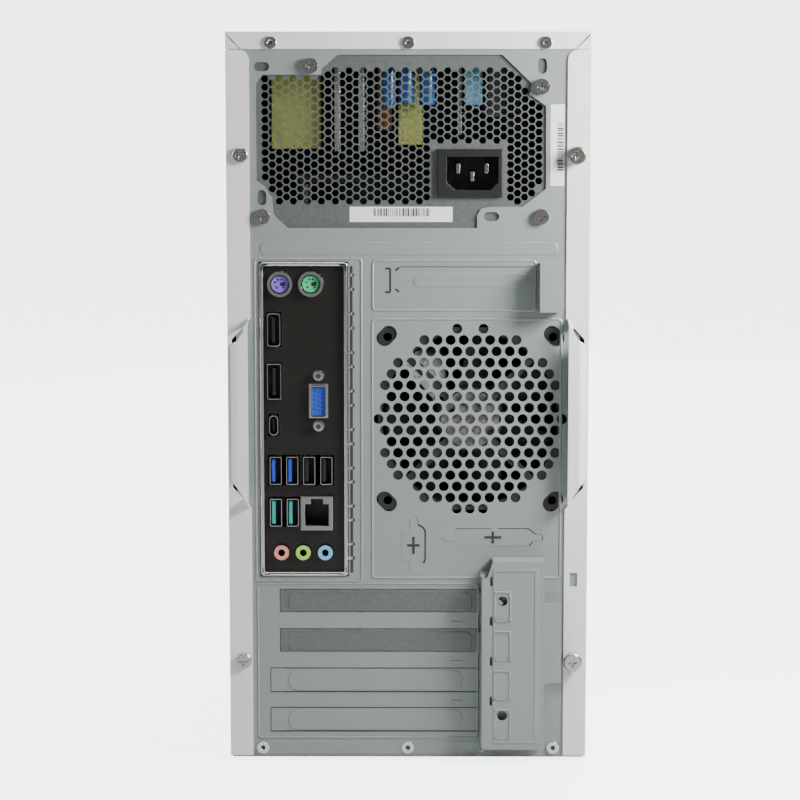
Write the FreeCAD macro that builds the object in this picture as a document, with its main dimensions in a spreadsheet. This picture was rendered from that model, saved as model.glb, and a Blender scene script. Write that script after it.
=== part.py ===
"""Desktop computer tower, micro-ATX, as an assembly of separate pieces.

Millimetres, +Z up. The front bezel faces -Y and the connector side faces +Y.
The origin is on the surface the tower stands on, at the middle of its box.
Each piece is one document object whose Label is the name of its file.
"""
import FreeCAD, Part
import math
import os
import re

import Sketcher
from FreeCAD import Placement, Rotation, Vector

doc = FreeCAD.newDocument("desktop_tower")
os.makedirs("parts", exist_ok=True)

# ---------------------------------------------------------------- driving dimensions
DIMENSIONS = {
    # case
    "half_width": 90,         # outside of a side panel
    "case_top": 367,
    "foot_height": 2,
    "front_face": -200,       # front of the plastic bezel
    "bezel_back": -168,       # steel starts here
    "rear_face": 187,         # outer face of the rear panel
    "rear_most": 200,         # outer face of the card cover
    "plate": 0.8,             # sheet steel
    "gap": 0.3,               # between a loose panel and the frame
    "flange_inner": 78.5,     # inner edge of a side panel's rear flange
    "skirt": 358.5,           # lower edge of the top cover's skirts
    "lip_low": 130,           # pull lips on the side panels
    "lip_high": 226,
    "lip_proud": 8,
    "bezel_wall": 2.5,
    "panel_screw_across": 82.9,
    # card cover, on a knuckle along its inner edge
    "hinge_across": -37.4,
    "hinge_along": 199,
    "hinge_low": 9.4,
    "hinge_high": 97,
    # motherboard, microATX
    "board_top": 76.4,        # component face
    "board_thick": 1.6,
    "board_size": 244,
    "board_rear": 184,
    "board_low": 13,
    "standoff": 6.35,
    # rear connector window and expansion slots
    "shield_low": 95.25,
    "shield_high": 254,
    "shield_inner": 29.8,
    "shield_outer": 74.25,
    "port_face": 188.2,       # connectors end just outside the shield
    "slot_first": 22,         # middle height of the lowest slot
    "slot_pitch": 20.32,
    "slot_height": 12,
    "slot_near": 64.7,
    "slot_far": -36.5,
    # power supply, ATX
    "psu_left": 78.2,
    "psu_low": 270.3,
    "psu_width": 150,
    "psu_height": 86,
    "psu_depth": 140,
    # fans
    "case_fan": 92,
    "case_fan_across": -31,
    "case_fan_height": 175.2,
    "cooler_fan": 80,
    "cooler_along": 108,
    "cooler_height": 192,
    "psu_fan": 110,
    "psu_fan_across": 3.2,
    "psu_fan_along": 108,
    "fan_thick": 25,
    # drives
    "bay_half": 73,           # half of a 5.25 inch drive
    "bay_low": 300.5,
    "bay_height": 41.3,
    "disk_half": 50.8,        # half of a 3.5 inch drive
    "disk_low": 12,
}
sheet = doc.addObject("Spreadsheet::Sheet", "Dims")
for row, (alias, size) in enumerate(DIMENSIONS.items(), start=1):
    sheet.set(f"A{row}", alias)
    sheet.set(f"B{row}", str(size))
    sheet.setAlias(f"B{row}", alias)
doc.recompute()
dim = {alias: float(sheet.get(alias)) for alias in DIMENSIONS}

nodes = []                    # the pieces to write, in order


# ---------------------------------------------------------------- helpers
def formula(text):
    """Turn 'half_width - plate' into an expression on the sheet."""
    return re.sub(r"[a-z]\w+", lambda word: "Dims." + word.group(0), str(text))


def node(piece, label):
    """Name a piece and keep it for the export."""
    piece.Label = label
    nodes.append(piece)
    return piece


def block(x, y, z, label="block"):
    """Box between pairs of expressions, one pair for each axis."""
    piece = doc.addObject("Part::Box", label)
    for axis, size, (low, high) in zip("xyz", ("Length", "Width", "Height"), (x, y, z)):
        piece.setExpression(size, f"({formula(high)}) - ({formula(low)})")
        piece.setExpression(f"Placement.Base.{axis}", formula(low))
    return piece


TURN = {"X": Rotation(Vector(0, 1, 0), 90), "Y": Rotation(Vector(1, 0, 0), -90), "Z": Rotation()}


def rod(axis, centre, start, length, radius, label="rod"):
    """Cylinder along an axis; centre gives the other two coordinates in X, Y, Z order."""
    piece = doc.addObject("Part::Cylinder", label)
    piece.Placement = Placement(Vector(), TURN[axis])
    piece.setExpression("Radius", formula(radius))
    piece.setExpression("Height", formula(length))
    places = list(centre)
    places.insert("XYZ".index(axis), start)
    for letter, place in zip("xyz", places):
        piece.setExpression(f"Placement.Base.{letter}", formula(place))
    return piece


def solid(shape, label="solid"):
    """A shape made directly with Part, for what primitives and sketches do not suit."""
    piece = doc.addObject("Part::Feature", label)
    piece.Shape = shape
    return piece


def joined(pieces, label):
    """Touching pieces made one solid."""
    whole = doc.addObject("Part::MultiFuse", label)
    whole.Shapes = pieces
    return node(whole, label)


def grouped(pieces, label):
    """Separate solids kept in one file."""
    whole = doc.addObject("Part::Compound", label)
    whole.Links = pieces
    return node(whole, label)


def without(base, cutters, label):
    """The base with every cutter taken away."""
    tool = doc.addObject("Part::Compound", "cutters")
    tool.Links = cutters
    whole = doc.addObject("Part::Cut", label)
    whole.Base = base
    whole.Tool = tool
    return node(whole, label)


def fused(pieces):
    """Touching pieces made one, as a step of a longer construction."""
    whole = doc.addObject("Part::MultiFuse", "step")
    whole.Shapes = pieces
    return whole


def hollow(base, cutters):
    """A cut used as a step of a longer construction."""
    tool = doc.addObject("Part::Compound", "cutters")
    tool.Links = cutters
    whole = doc.addObject("Part::Cut", "step")
    whole.Base = base
    whole.Tool = tool
    return whole


PLANES = {"X": "YZ_Plane", "Y": "XZ_Plane", "Z": "XY_Plane"}


def rect(low, high):
    """Rectangle outline from two corners, each a pair of expressions."""
    return [low, (high[0], low[1]), high, (low[0], high[1])]


def sketch(body, axis, place, outlines):
    """Sketch of closed outlines across an axis, at a place on it, each point bound."""
    drawing = body.newObject("Sketcher::SketchObject", "sketch")
    role = PLANES[axis]
    plane = [part for part in body.Origin.OriginFeatures if part.Role == role][0]
    drawing.AttachmentSupport = (plane, [""])
    drawing.MapMode = "FlatFace"
    sign = "-" if axis == "Y" else ""
    drawing.setExpression("AttachmentOffset.Base.z", f"{sign}({formula(place)})")
    for outline in outlines:
        if isinstance(outline, dict):
            draw_circle(drawing, outline)
        else:
            draw_polygon(drawing, outline)
    return drawing


def draw_circle(drawing, ring):
    """Circle with its centre and radius bound to expressions."""
    right, up = ring["centre"]
    edge = drawing.addGeometry(Part.Circle(Vector(1, 1, 0), Vector(0, 0, 1), 2), False)
    pin = drawing.addConstraint(Sketcher.Constraint("DistanceX", -1, 1, edge, 3, 1.0))
    drawing.setExpression(f"Constraints[{pin}]", formula(right))
    pin = drawing.addConstraint(Sketcher.Constraint("DistanceY", -1, 1, edge, 3, 1.0))
    drawing.setExpression(f"Constraints[{pin}]", formula(up))
    pin = drawing.addConstraint(Sketcher.Constraint("Radius", edge, 2.0))
    drawing.setExpression(f"Constraints[{pin}]", formula(ring["radius"]))


def draw_polygon(drawing, points):
    """Closed run of lines with both coordinates of each corner bound."""
    count = len(points)
    first = drawing.GeometryCount
    for step in range(count):
        here = math.tau * step / count
        there = math.tau * (step + 1) / count
        start = Vector(math.cos(here), math.sin(here), 0)
        end = Vector(math.cos(there), math.sin(there), 0)
        drawing.addGeometry(Part.LineSegment(start, end), False)
    for step in range(count):
        after = first + (step + 1) % count
        drawing.addConstraint(Sketcher.Constraint("Coincident", first + step, 2, after, 1))
    for step, (right, up) in enumerate(points):
        pin = drawing.addConstraint(Sketcher.Constraint("DistanceX", -1, 1, first + step, 1, 1.0))
        drawing.setExpression(f"Constraints[{pin}]", formula(right))
        pin = drawing.addConstraint(Sketcher.Constraint("DistanceY", -1, 1, first + step, 1, 1.0))
        drawing.setExpression(f"Constraints[{pin}]", formula(up))


def across(side, near, far):
    """Low and high X of a span from near to far, on the +X or the -X side of the middle."""
    return (near, far) if side > 0 else (f"-({far})", f"-({near})")


def new_body(label):
    """Empty PartDesign body that is a piece of its own."""
    return node(doc.addObject("PartDesign::Body", label), label)


def pad(body, axis, span, *outlines):
    """Add material along an axis between two expressions."""
    low, high = span
    place = high if axis == "Y" else low
    feature = body.newObject("PartDesign::Pad", "pad")
    feature.Profile = sketch(body, axis, place, outlines)
    feature.setExpression("Length", f"({formula(high)}) - ({formula(low)})")
    body.Tip = feature
    return feature


def pocket(body, axis, span, *outlines):
    """Take material away along an axis between two expressions."""
    low, high = span
    place = low if axis == "Y" else high
    doc.recompute()
    before = body.Shape.Volume
    feature = body.newObject("PartDesign::Pocket", "pocket")
    feature.Profile = sketch(body, axis, place, outlines)
    feature.setExpression("Length", f"({formula(high)}) - ({formula(low)})")
    body.Tip = feature
    doc.recompute()
    if body.Shape.Volume > before - 0.01:
        raise RuntimeError(f"pocket cuts nothing in {body.Label}")
    return feature


def round_edges(body, radius, wanted):
    """Fillet the straight edges of the tip whose middle passes the test."""
    doc.recompute()
    names = [f"Edge{index}" for index, edge in enumerate(body.Tip.Shape.Edges, start=1)
             if wanted(edge.CenterOfMass, edge)]
    base = body.Tip
    feature = body.newObject("PartDesign::Fillet", "fillet")
    feature.Base = (base, names)
    feature.Radius = radius
    body.Tip = feature
    return feature


# ---------------------------------------------------------------- steel frame
def chassis_floor():
    """Bottom tray with upturned front and rear edges."""
    body = new_body("chassis_floor")
    pad(body, "Z", ("foot_height", "foot_height + plate"),
        rect(("-half_width + 1", "bezel_back"), ("half_width - 1", "rear_face - plate")))
    for low, high in (("bezel_back + plate", "bezel_back + 2 * plate"),
                      ("rear_face - 2 * plate", "rear_face - plate")):
        pad(body, "Y", (low, high), rect((-82, "foot_height"), (82, "foot_height + 11")))


# Outline of the power supply window, anticlockwise seen from the front: X, Z.
PSU_WINDOW = [
    (34.8, 355.7), (42.6, 349), (43, 346), (72, 346), (75, 341.6), (75, 293.9), (71.1, 291.4),
    (67.3, 285.6), (66.7, 277.4), (59.7, 270.6), (-34.2, 270.6), (-34.2, 277), (-36, 280), (-40.5, 281.1),
    (-56.5, 281.1), (-68.2, 290.1), (-67.9, 330.7), (-59.9, 336.4), (-60.8, 341.8), (-46.3, 355.7)]
PSU_HOLES = [(-65.8, 340.2), (72.2, 276.3), (-65.8, 276.3), (48.2, 350.3)]   # X, Z
VENT_PITCH = 6.55
VENT_REACH = 7.0              # in pitches
VENT_RADIUS = 2.5
FAN_SLOT_SPREAD = 41.7
PANEL_SCREW_HEIGHTS = (52.4, 306.5)


def vent_holes(depth_low, depth):
    """Round holes on a hexagonal lattice inside a circle, above the fan."""
    holes = []
    rise = VENT_PITCH * math.sqrt(3) / 2
    for row in range(-8, 9):
        for column in range(-8, 9):
            across = (column + 0.5 * (row % 2)) * VENT_PITCH
            reach = math.hypot(across, row * rise) / VENT_PITCH
            if reach > VENT_REACH + 0.01 or (row == 8 and column == 0):
                continue
            centre = Vector(dim["case_fan_across"] + across, depth_low,
                            dim["case_fan_height"] + row * rise)
            holes.append(Part.makeCylinder(VENT_RADIUS, depth, centre, Vector(0, 1, 0)))
    return Part.makeCompound(holes)


def slot_hole(middle, along, half_run, radius):
    """Round-ended cutter through the rear panel; middle is X, Z and along the slot's direction."""
    centre = Vector(middle[0], dim["rear_face"] - 2, middle[1])
    step = Vector(along[0], 0, along[1]).normalize() * half_run
    ends = [Part.makeCylinder(radius, 4, centre + step * way, Vector(0, 1, 0)) for way in (-1, 1)]
    bar = Part.makeBox(2 * half_run, 4, 2 * radius, Vector(-half_run, 0, -radius))
    bar.rotate(Vector(), Vector(0, 1, 0), -math.degrees(math.atan2(along[1], along[0])))
    bar.translate(centre)
    return solid(ends[0].fuse([ends[1], bar]), "slot_hole")


def fan_slots():
    """Four diagonal openings at the corners of the fan."""
    return [slot_hole((dim["case_fan_across"] + side * FAN_SLOT_SPREAD,
                       dim["case_fan_height"] + level * FAN_SLOT_SPREAD), (side, -level), 1.6, 4)
            for side in (-1, 1) for level in (-1, 1)]


def supply_slots():
    """Four unused slots round the power supply: middle X, Z, then the direction of the slot."""
    places = [((72.2, 349.9), (1, 0)), ((-41.3, 276.3), (1, 0)),
              ((-66, 350.3), (0, 1)), ((72.4, 285.6), (0, 1))]
    return [slot_hole(middle, along, 1.6, 2.2) for middle, along in places]


def rear_panel():
    """Connector side: windows for the supply, the board's connectors and two slot covers."""
    body = doc.addObject("PartDesign::Body", "rear_sheet")
    openings = [
        rect(("shield_inner", "shield_low"), ("shield_outer", "shield_high")),
        PSU_WINDOW,
    ]
    for level in (2, 3):
        middle = f"slot_first + {level} * slot_pitch"
        openings.append(rect(("slot_far", f"{middle} - slot_height / 2"),
                             ("slot_near", f"{middle} + slot_height / 2")))
    openings += [{"centre": hole, "radius": 1.9} for hole in PSU_HOLES]
    openings += [{"centre": (f"{side} * panel_screw_across", height), "radius": 1.6}
                 for side in (-1, 1) for height in PANEL_SCREW_HEIGHTS]
    pad(body, "Y", ("rear_face - plate", "rear_face"),
        rect(("-half_width + 4.4", "foot_height + plate"), ("half_width - 4.4", "case_top - 1")),
        *openings)
    # ledge that carries the screws of the slot covers, and the one of the spare slot
    ledges = []
    for low, high, across, proud in (("slot_first - 11", "slot_first + 76", (-62, -38), 8),
                                     (229.5, 253.6, (-76, -65), 11)):
        outer = block(across, ("rear_face", f"rear_face + {proud}"), (low, high), "ledge")
        inner = block((across[0] + 0.8, across[1] + 1), ("rear_face", f"rear_face + {proud} - plate"),
                      (f"{low} + 0.8", f"{high} - 0.8"), "ledge_inside")
        ledges.append(hollow(outer, [inner]))
    lugs = []
    for low, pin in (("hinge_low - 1.2", "hinge_low - 0.6"), ("hinge_high + 0.4", "hinge_high - 1")):
        lugs.append(block(("hinge_across - 1.1", "hinge_across + 1.1"), ("rear_face", "rear_most"),
                          (low, f"{low} + plate"), "lug"))
        lugs.append(rod("Z", ("hinge_across", "hinge_along"), pin, 1.6, 0.5, "lug_pin"))
    sheet_with_ledges = fused([body] + ledges + lugs)
    vents = solid(vent_holes(dim["rear_face"] - 2, 4), "vents")
    threads = [rod("Y", ("slot_far - 8", f"slot_first + {level} * slot_pitch"), "rear_face + 6", 4, 1.4)
               for level in (2, 3)]
    without(sheet_with_ledges, [vents] + fan_slots() + supply_slots() + threads, "rear_panel")


def motherboard_tray():
    """Upright sheet that carries the board, with a foot on the floor and cable cut-outs."""
    body = new_body("motherboard_tray")
    face = "board_top + board_thick + standoff"
    pad(body, "X", (face, f"{face} + plate"),
        rect((-120, "foot_height + plate"), ("rear_face - plate", "case_top - 2")),
        rect((-108, 60), (-76, 96)), rect((-108, 200), (-76, 236)),
        rect((-20, 262), (60, 276)))
    pad(body, "Z", ("foot_height + plate", "foot_height + 2 * plate"),
        rect((f"{face} - 10", -110), (face, 170)))


def chassis_front():
    """Inner front plate with windows for the drives, the ports and the air intake."""
    body = new_body("chassis_front")
    pad(body, "Y", ("bezel_back", "bezel_back + plate"),
        rect(("-half_width + 1.4", "foot_height + plate"), ("half_width - 1.4", "case_top - 1")),
        rect(("-bay_half - 1", "bay_low - 47"), ("bay_half + 1", "bay_low + bay_height + 1")),
        rect((-60, 30), (60, 150)), rect((-60, 196), (60, 236)))
    for side in (-1, 1):
        pad(body, "X", across(side, "half_width - 2.2", "half_width - 1.4"),
            rect(("bezel_back", "foot_height + 4"), ("bezel_back + 14", "skirt - 2")))


def drive_bay_cage():
    """Two side plates and a roof that hold both 5.25 inch bays."""
    walls = [
        block(("bay_half + gap", "bay_half + gap + plate"), ("bezel_back + plate", 2),
              ("bay_low - 46", "case_top - 1")),
        block(("-bay_half - gap - plate", "-bay_half - gap"), ("bezel_back + plate", 2),
              ("bay_low - 46", "case_top - 1")),
        block(("-bay_half - gap - plate", "bay_half + gap + plate"), ("bezel_back + plate", 2),
              ("case_top - 1.8", "case_top - 1")),
        block(("-bay_half - gap - plate", "bay_half + gap + plate"), ("bezel_back + plate", 2),
              ("bay_low - 46.8", "bay_low - 46")),
    ]
    slots = [block(("-half_width", "half_width"), (place, place + 24), (f"bay_low - {drop}",
                                                                   f"bay_low - {drop} + 5"))
             for place in (-150, -90, -40) for drop in (-10, 32)]
    without(fused(walls), slots, "drive_bay_cage")


def top_cover():
    """Folded sheet with skirts at the sides and a flange over the rear panel."""
    outer = block(("-half_width", "half_width"), ("bezel_back", "rear_face + plate"),
                  ("skirt", "case_top"))
    inner = block(("-half_width + plate", "half_width - plate"), ("bezel_back - 1", "rear_face"),
                  ("skirt - 1", "case_top - plate"))
    cuts = [inner]
    for side in (-1, 1):
        mitre = block((-0.25, 0.25), (-1, 2), (-1, 12), "mitre")
        mitre.Placement.Rotation = Rotation(Vector(0, 1, 0), 44.5 * side)
        moved = doc.addObject("Part::Compound", "moved")
        moved.Links = [mitre]
        moved.setExpression("Placement.Base.x", formula(f"{side} * (flange_inner + 2.6)"))
        moved.setExpression("Placement.Base.y", formula("rear_face"))
        moved.setExpression("Placement.Base.z", formula("skirt - 0.4"))
        cuts.append(moved)
    without(outer, cuts, "top_cover")


FLANGE_CORNER = 5
LIP_SLANT = 1.263             # rise of the lip's slanted ends for each millimetre across


def lip_outline(side, near, far, inset):
    """Outline of the pull lip: inset is how far its slanted ends start from its limits."""
    corner = f"{inset} + {LIP_SLANT} * ({far} - {near})"
    near, far = f"{side} * ({near})", f"{side} * ({far})"
    return [(near, f"lip_low + {inset}"), (far, f"lip_low + {corner}"),
            (far, f"lip_high - ({corner})"), (near, f"lip_high - ({inset})")]


def loft(body, kind, first, second):
    """Straight-sided solid between two outlines, each given with its place along Y."""
    ends = [sketch(body, "Y", place, [outline]) for place, outline in (first, second)]
    feature = body.newObject(f"PartDesign::{kind}Loft", "loft")
    feature.Profile = ends[0]
    feature.Sections = [ends[1]]
    feature.Ruled = True
    body.Tip = feature
    return feature


def side_panel(label, side):
    """Side sheet with a rear flange, narrow folds and a hollow pull lip raised from the flange."""
    fold = across(side, "half_width - 4", "half_width")
    body = new_body(label)
    low, high = "foot_height + plate + gap", "skirt - gap"
    pad(body, "X", across(side, "half_width - plate", "half_width"),
        rect(("bezel_back + gap", low), ("rear_face + plate", high)))
    inner, outer = f"{side} * flange_inner", f"{side} * half_width"
    turn = [math.radians(15 * step) for step in range(7)]
    corner = [(f"{side} * (flange_inner + {FLANGE_CORNER * (1 - math.cos(angle))})",
               f"{high} - {FLANGE_CORNER * (1 - math.sin(angle))}") for angle in turn]
    outline = [(inner, low)] + corner + [(outer, high), (outer, low)]
    pad(body, "Y", ("rear_face", "rear_face + plate"), outline)
    for level in ((low, f"{low} + plate"), (f"{high} - plate", high)):
        pad(body, "Z", level, rect((fold[0], "bezel_back + 16"), (fold[1], "rear_face - 2")))
    edge = "flange_inner + 1"
    crest = "rear_face + plate + lip_proud"
    loft(body, "Additive",
         ("rear_face", lip_outline(side, edge, "half_width - 1", 0)),
         (crest, lip_outline(side, edge, "half_width - 4.8", 2.5)))
    loft(body, "Subtractive",
         ("rear_face - gap", lip_outline(side, f"{edge} - 1.5", "half_width - 1.8", -0.6)),
         (f"{crest} - plate", lip_outline(side, f"{edge} - 1.5", "half_width - 5.6", 1.9)))
    holes = [{"centre": (f"{side} * panel_screw_across", height), "radius": 1.9}
             for height in PANEL_SCREW_HEIGHTS]
    if side < 0:
        holes.append(rect((-85.1, 90.3), (-81.3, 97.3)))
    pocket(body, "Y", ("rear_face", "rear_face + plate"), *holes)


def card_cover():
    """Shallow cover over the screws of the slot covers, with a hinge knuckle on its inner edge."""
    body = doc.addObject("PartDesign::Body", "card_cover_sheet")
    inner, outer, low, high = "hinge_across", -67.9, "hinge_low", 105.2
    pad(body, "Y", ("rear_most - plate", "rear_most"),
        [(inner, low), (inner, "hinge_high"), (-39.4, "hinge_high"), (-40.5, 99.6), (-42.3, high),
         (outer, high), (outer, 84), (-76.6, 84), (-76.6, 43.5), (outer, 43.5), (outer, low)],
        {"centre": (-47.2, 85.2), "radius": 2.5}, {"centre": (-47.2, 26.7), "radius": 2.5},
        *[rect((-42.2, f"slot_first + {step} * slot_pitch + 10"),
               (-40.9, f"slot_first + {step} * slot_pitch + 14.6")) for step in range(4)])
    edges = [((outer, f"{outer} + plate"), (low, high)),
             ((outer, -42.3), (f"{high} - plate", high)),
             ((outer, -42.3), (low, f"{low} + plate"))]
    for (near, far), (bottom, top) in edges:
        pad(body, "Y", ("rear_face + gap", "rear_most - plate"), rect((near, bottom), (far, top)))
    knuckle = rod("Z", ("hinge_across", "hinge_along"), low, "hinge_high - hinge_low", 1, "knuckle")
    bore = rod("Z", ("hinge_across", "hinge_along"), f"{low} - 1", "hinge_high - hinge_low + 2", 0.6,
               "knuckle_bore")
    without(fused([body, knuckle]), [bore], "card_cover")


def slot_covers():
    """Loose steel strips in the two upper expansion slots, each with a tongue and a bent tab."""
    pieces = []
    for level in (2, 3):
        middle = f"slot_first + {level} * slot_pitch"
        half = "(slot_height / 2 - 0.3)"
        strip = block(("slot_far + 0.3", "slot_near - 0.3"), ("rear_face - plate", "rear_face + 0.1"),
                      (f"{middle} - {half}", f"{middle} + {half}"))
        tongue = block(("slot_near - 0.5", "slot_near + 7.6"), ("rear_face - 2", "rear_face - plate - 0.1"),
                       (f"{middle} - 4", f"{middle} + 4"))
        heel = block(("slot_near - 2", "slot_near - 0.3"), ("rear_face - 2", "rear_face - 0.4"),
                     (f"{middle} - 4", f"{middle} + 4"))
        tab = block(("slot_far + 0.3", "slot_far + 1.1"), ("rear_face - plate", "rear_face + 8.9"),
                    (f"{middle} - {half}", f"{middle} + {half}"))
        foot = block(("slot_far - 12", "slot_far + 1.1"), ("rear_face + 8.1", "rear_face + 8.9"),
                     (f"{middle} - {half}", f"{middle} + {half}"))
        hole = rod("Y", ("slot_far - 8", middle), "rear_face + 7", 3, 1.5)
        pieces.append(hollow(fused([strip, tongue, heel, tab, foot]), [hole]))
    grouped(pieces, "slot_covers")


def slot_screws():
    """Screws that hold the slot covers to the ledge."""
    pieces = []
    for level in (2, 3):
        middle = f"slot_first + {level} * slot_pitch"
        shank = rod("Y", ("slot_far - 8", middle), "rear_face + 5", 4, 1.4)
        head = rod("Y", ("slot_far - 8", middle), "rear_face + 8.9", 2.2, 3.2)
        pieces.append(fused([shank, head]))
    grouped(pieces, "slot_screws")


def panel_rivets():
    """Domed rivets that join the cover and the floor to the rear panel."""
    pieces = []
    for height, row, place in ((361.6, (67.8, 0, -67.5), "rear_face + plate"),
                               (7.2, (73.5, 0, -73.5), "rear_face")):
        for across in row:
            head = rod("Y", (across, height), place, 1.1, 3.2)
            bore = rod("Y", (across, height), f"{place} + 0.6", 1, 1.1)
            pieces.append(hollow(head, [bore]))
    grouped(pieces, "panel_rivets")


def panel_screws(label, side, head_radius, head_length, neck):
    """Captive screws through the rear flange of a side panel."""
    pieces = []
    for height in PANEL_SCREW_HEIGHTS:
        centre = (f"{side} * panel_screw_across", height)
        body = doc.addObject("PartDesign::Body", "screw")
        profile = sketch(body, "X", 0, [[
            (0, 0), (0, 1.4), (3, 1.4), (3, head_radius - neck),
            (3 + head_length - 0.6, head_radius), (3 + head_length, head_radius - 0.6),
            (3 + head_length, 0)]])
        spin = body.newObject("PartDesign::Revolution", "spin")
        spin.Profile = profile
        spin.ReferenceAxis = (profile, ["H_Axis"])
        spin.Angle = 360
        body.Tip = spin
        slots = [block((-0.5, 0.5), (3 + head_length - 1.2, 9), (-2.2, 2.2)),
                 block((-2.2, 2.2), (3 + head_length - 1.2, 9), (-0.5, 0.5))]
        screw = hollow(body, [fused(slots)])
        screw.setExpression("Placement.Base.x", formula(centre[0]))
        screw.setExpression("Placement.Base.y", formula("rear_face + plate - 3"))
        screw.setExpression("Placement.Base.z", formula(centre[1]))
        pieces.append(screw)
    grouped(pieces, label)


def feet():
    """Four rubber pads under the floor."""
    grouped([rod("Z", (across, along), 0, "foot_height", 9) for across in (-66, 66)
             for along in (-140, 160)], "feet")


# ---------------------------------------------------------------- motherboard
STANDOFF_BACK = (10, 165, 236)        # behind the rear edge of the board
STANDOFF_UP = (6.5, 126.2, 236)       # above its lower edge


def motherboard():
    """Printed board with its nine fixing holes."""
    body = new_body("motherboard")
    holes = [{"centre": (f"board_rear - {back}", f"board_low + {up}"), "radius": 2}
             for back in STANDOFF_BACK for up in STANDOFF_UP]
    pad(body, "X", ("board_top", "board_top + board_thick"),
        rect(("board_rear - board_size", "board_low"), ("board_rear", "board_low + board_size")),
        *holes)


def board_standoffs():
    """Hexagonal brass spacers and the screws that hold the board on them."""
    pieces = []
    for back in STANDOFF_BACK:
        for up in STANDOFF_UP:
            centre = (f"board_rear - {back}", f"board_low + {up}")
            post = doc.addObject("Part::Prism", "post")
            post.Polygon = 6
            post.setExpression("Circumradius", "3")
            post.setExpression("Height", formula("standoff"))
            post.Placement = Placement(Vector(), TURN["X"])
            post.setExpression("Placement.Base.x", formula("board_top + board_thick"))
            post.setExpression("Placement.Base.y", formula(centre[0]))
            post.setExpression("Placement.Base.z", formula(centre[1]))
            shank = rod("X", centre, "board_top", "board_thick", 1.6)
            head = rod("X", centre, "board_top - 2", 2, 2.8)
            pieces.append(fused([post, shank, head]))
    grouped(pieces, "board_standoffs")


# Windows of the connector shield: middle X, middle Z, width, height; round where the height is None.
SHIELD_WINDOWS = [
    (63.8, 242.7, 13.2, None), (48.4, 242.8, 13.2, None), (66.9, 220, 7.6, 17.4),
    (66.8, 194.1, 8, 18.6), (44.8, 184.1, 9.6, 17.4), (44.8, 197, 5.6, None), (44.8, 171.6, 5.6, None),
    (67.2, 172.1, 5.6, 11), (62.2, 149.2, 16, 15.4), (45.2, 149.2, 16, 15.4), (62.1, 128, 16, 15.4),
    (45.8, 127.7, 16.4, 17.4), (63.6, 107.5, 8.2, None), (52.7, 107.5, 8.2, None),
    (41.6, 107.5, 8.2, None)]


def io_shield():
    """Pressed plate round the rear connectors with a rim in the window."""
    body = new_body("io_shield")
    windows = [rect((x - w / 2, z - h / 2), (x + w / 2, z + h / 2)) if h
               else {"centre": (x, z), "radius": w / 2} for x, z, w, h in SHIELD_WINDOWS]
    pad(body, "Y", ("rear_face - 1.6", "rear_face - 1.2"),
        rect(("shield_inner + 0.4", "shield_low + 0.4"), ("shield_outer - 0.4", "shield_high - 0.4")),
        *windows)
    pad(body, "Y", ("rear_face - 1.3", "rear_face + 0.5"),
        rect(("shield_inner + 0.3", "shield_low + 0.3"), ("shield_outer - 0.3", "shield_high - 0.3")),
        rect(("shield_inner + 1.2", "shield_low + 1.2"), ("shield_outer - 1.2", "shield_high - 1.2")))


def shell_port(x, z, width, height, deep, wall=0.4):
    """Steel connector shell, open at the rear, standing on the board."""
    outer = block((x - width / 2, x + width / 2), ("port_face - %s" % deep, "port_face"),
                  (z - height / 2, z + height / 2))
    inner = block((x - width / 2 + wall, x + width / 2 - wall),
                  ("port_face - %s" % (deep - 2), "port_face + 1"),
                  (z - height / 2 + wall, z + height / 2 - wall))
    return hollow(outer, [inner])


def tongue(x, z, width, height, deep, set_back=1):
    """Plastic tongue that carries the contacts inside a shell."""
    return block((x - width / 2, x + width / 2),
                 ("port_face - %s" % (deep - 1.9), f"port_face - {set_back}"),
                 (z - height / 2, z + height / 2))


def block_to_board(x, z, height, deep):
    """Base that joins a connector to the board."""
    return block((x, "board_top"), ("port_face - %s" % deep, "port_face - 6"),
                 (z - height / 2, z + height / 2))


def keyboard_mouse_ports():
    """Two round sockets for keyboard and mouse."""
    pieces = []
    for x, z in ((63.8, 242.7), (48.4, 242.8)):
        ring = hollow(rod("Y", (x, z), "port_face - 12", 12, 6.3),
                      [rod("Y", (x, z), "port_face - 10", 11, 4.8)])
        insert = rod("Y", (x, z), "port_face - 10.2", 9, 4.2)
        pins = [rod("Y", (x + 2.4 * math.cos(turn), z + 2.4 * math.sin(turn)), "port_face - 4", 5, 0.5)
                for turn in (0.4, 1.2, 1.94, 2.74, 3.9, 5.5)]
        pieces.append(fused([ring, hollow(insert, pins)]))
    base = block((41.6, "board_top"), ("port_face - 13", "port_face - 11.9"), (236, 245.5))
    joined(pieces + [base], "keyboard_mouse_ports")


def display_ports():
    """Two flat digital display sockets, upright."""
    pieces = []
    for z, width, height in ((220, 6.5, 16.5), (194.1, 7, 17.8)):
        pieces.append(fused([shell_port(66.9, z, width, height, 11),
                             tongue(66.9, z, 1.5, height - 4, 11),
                             block_to_board(70.1, z, height, 11)]))
    grouped(pieces, "display_ports")


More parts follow.
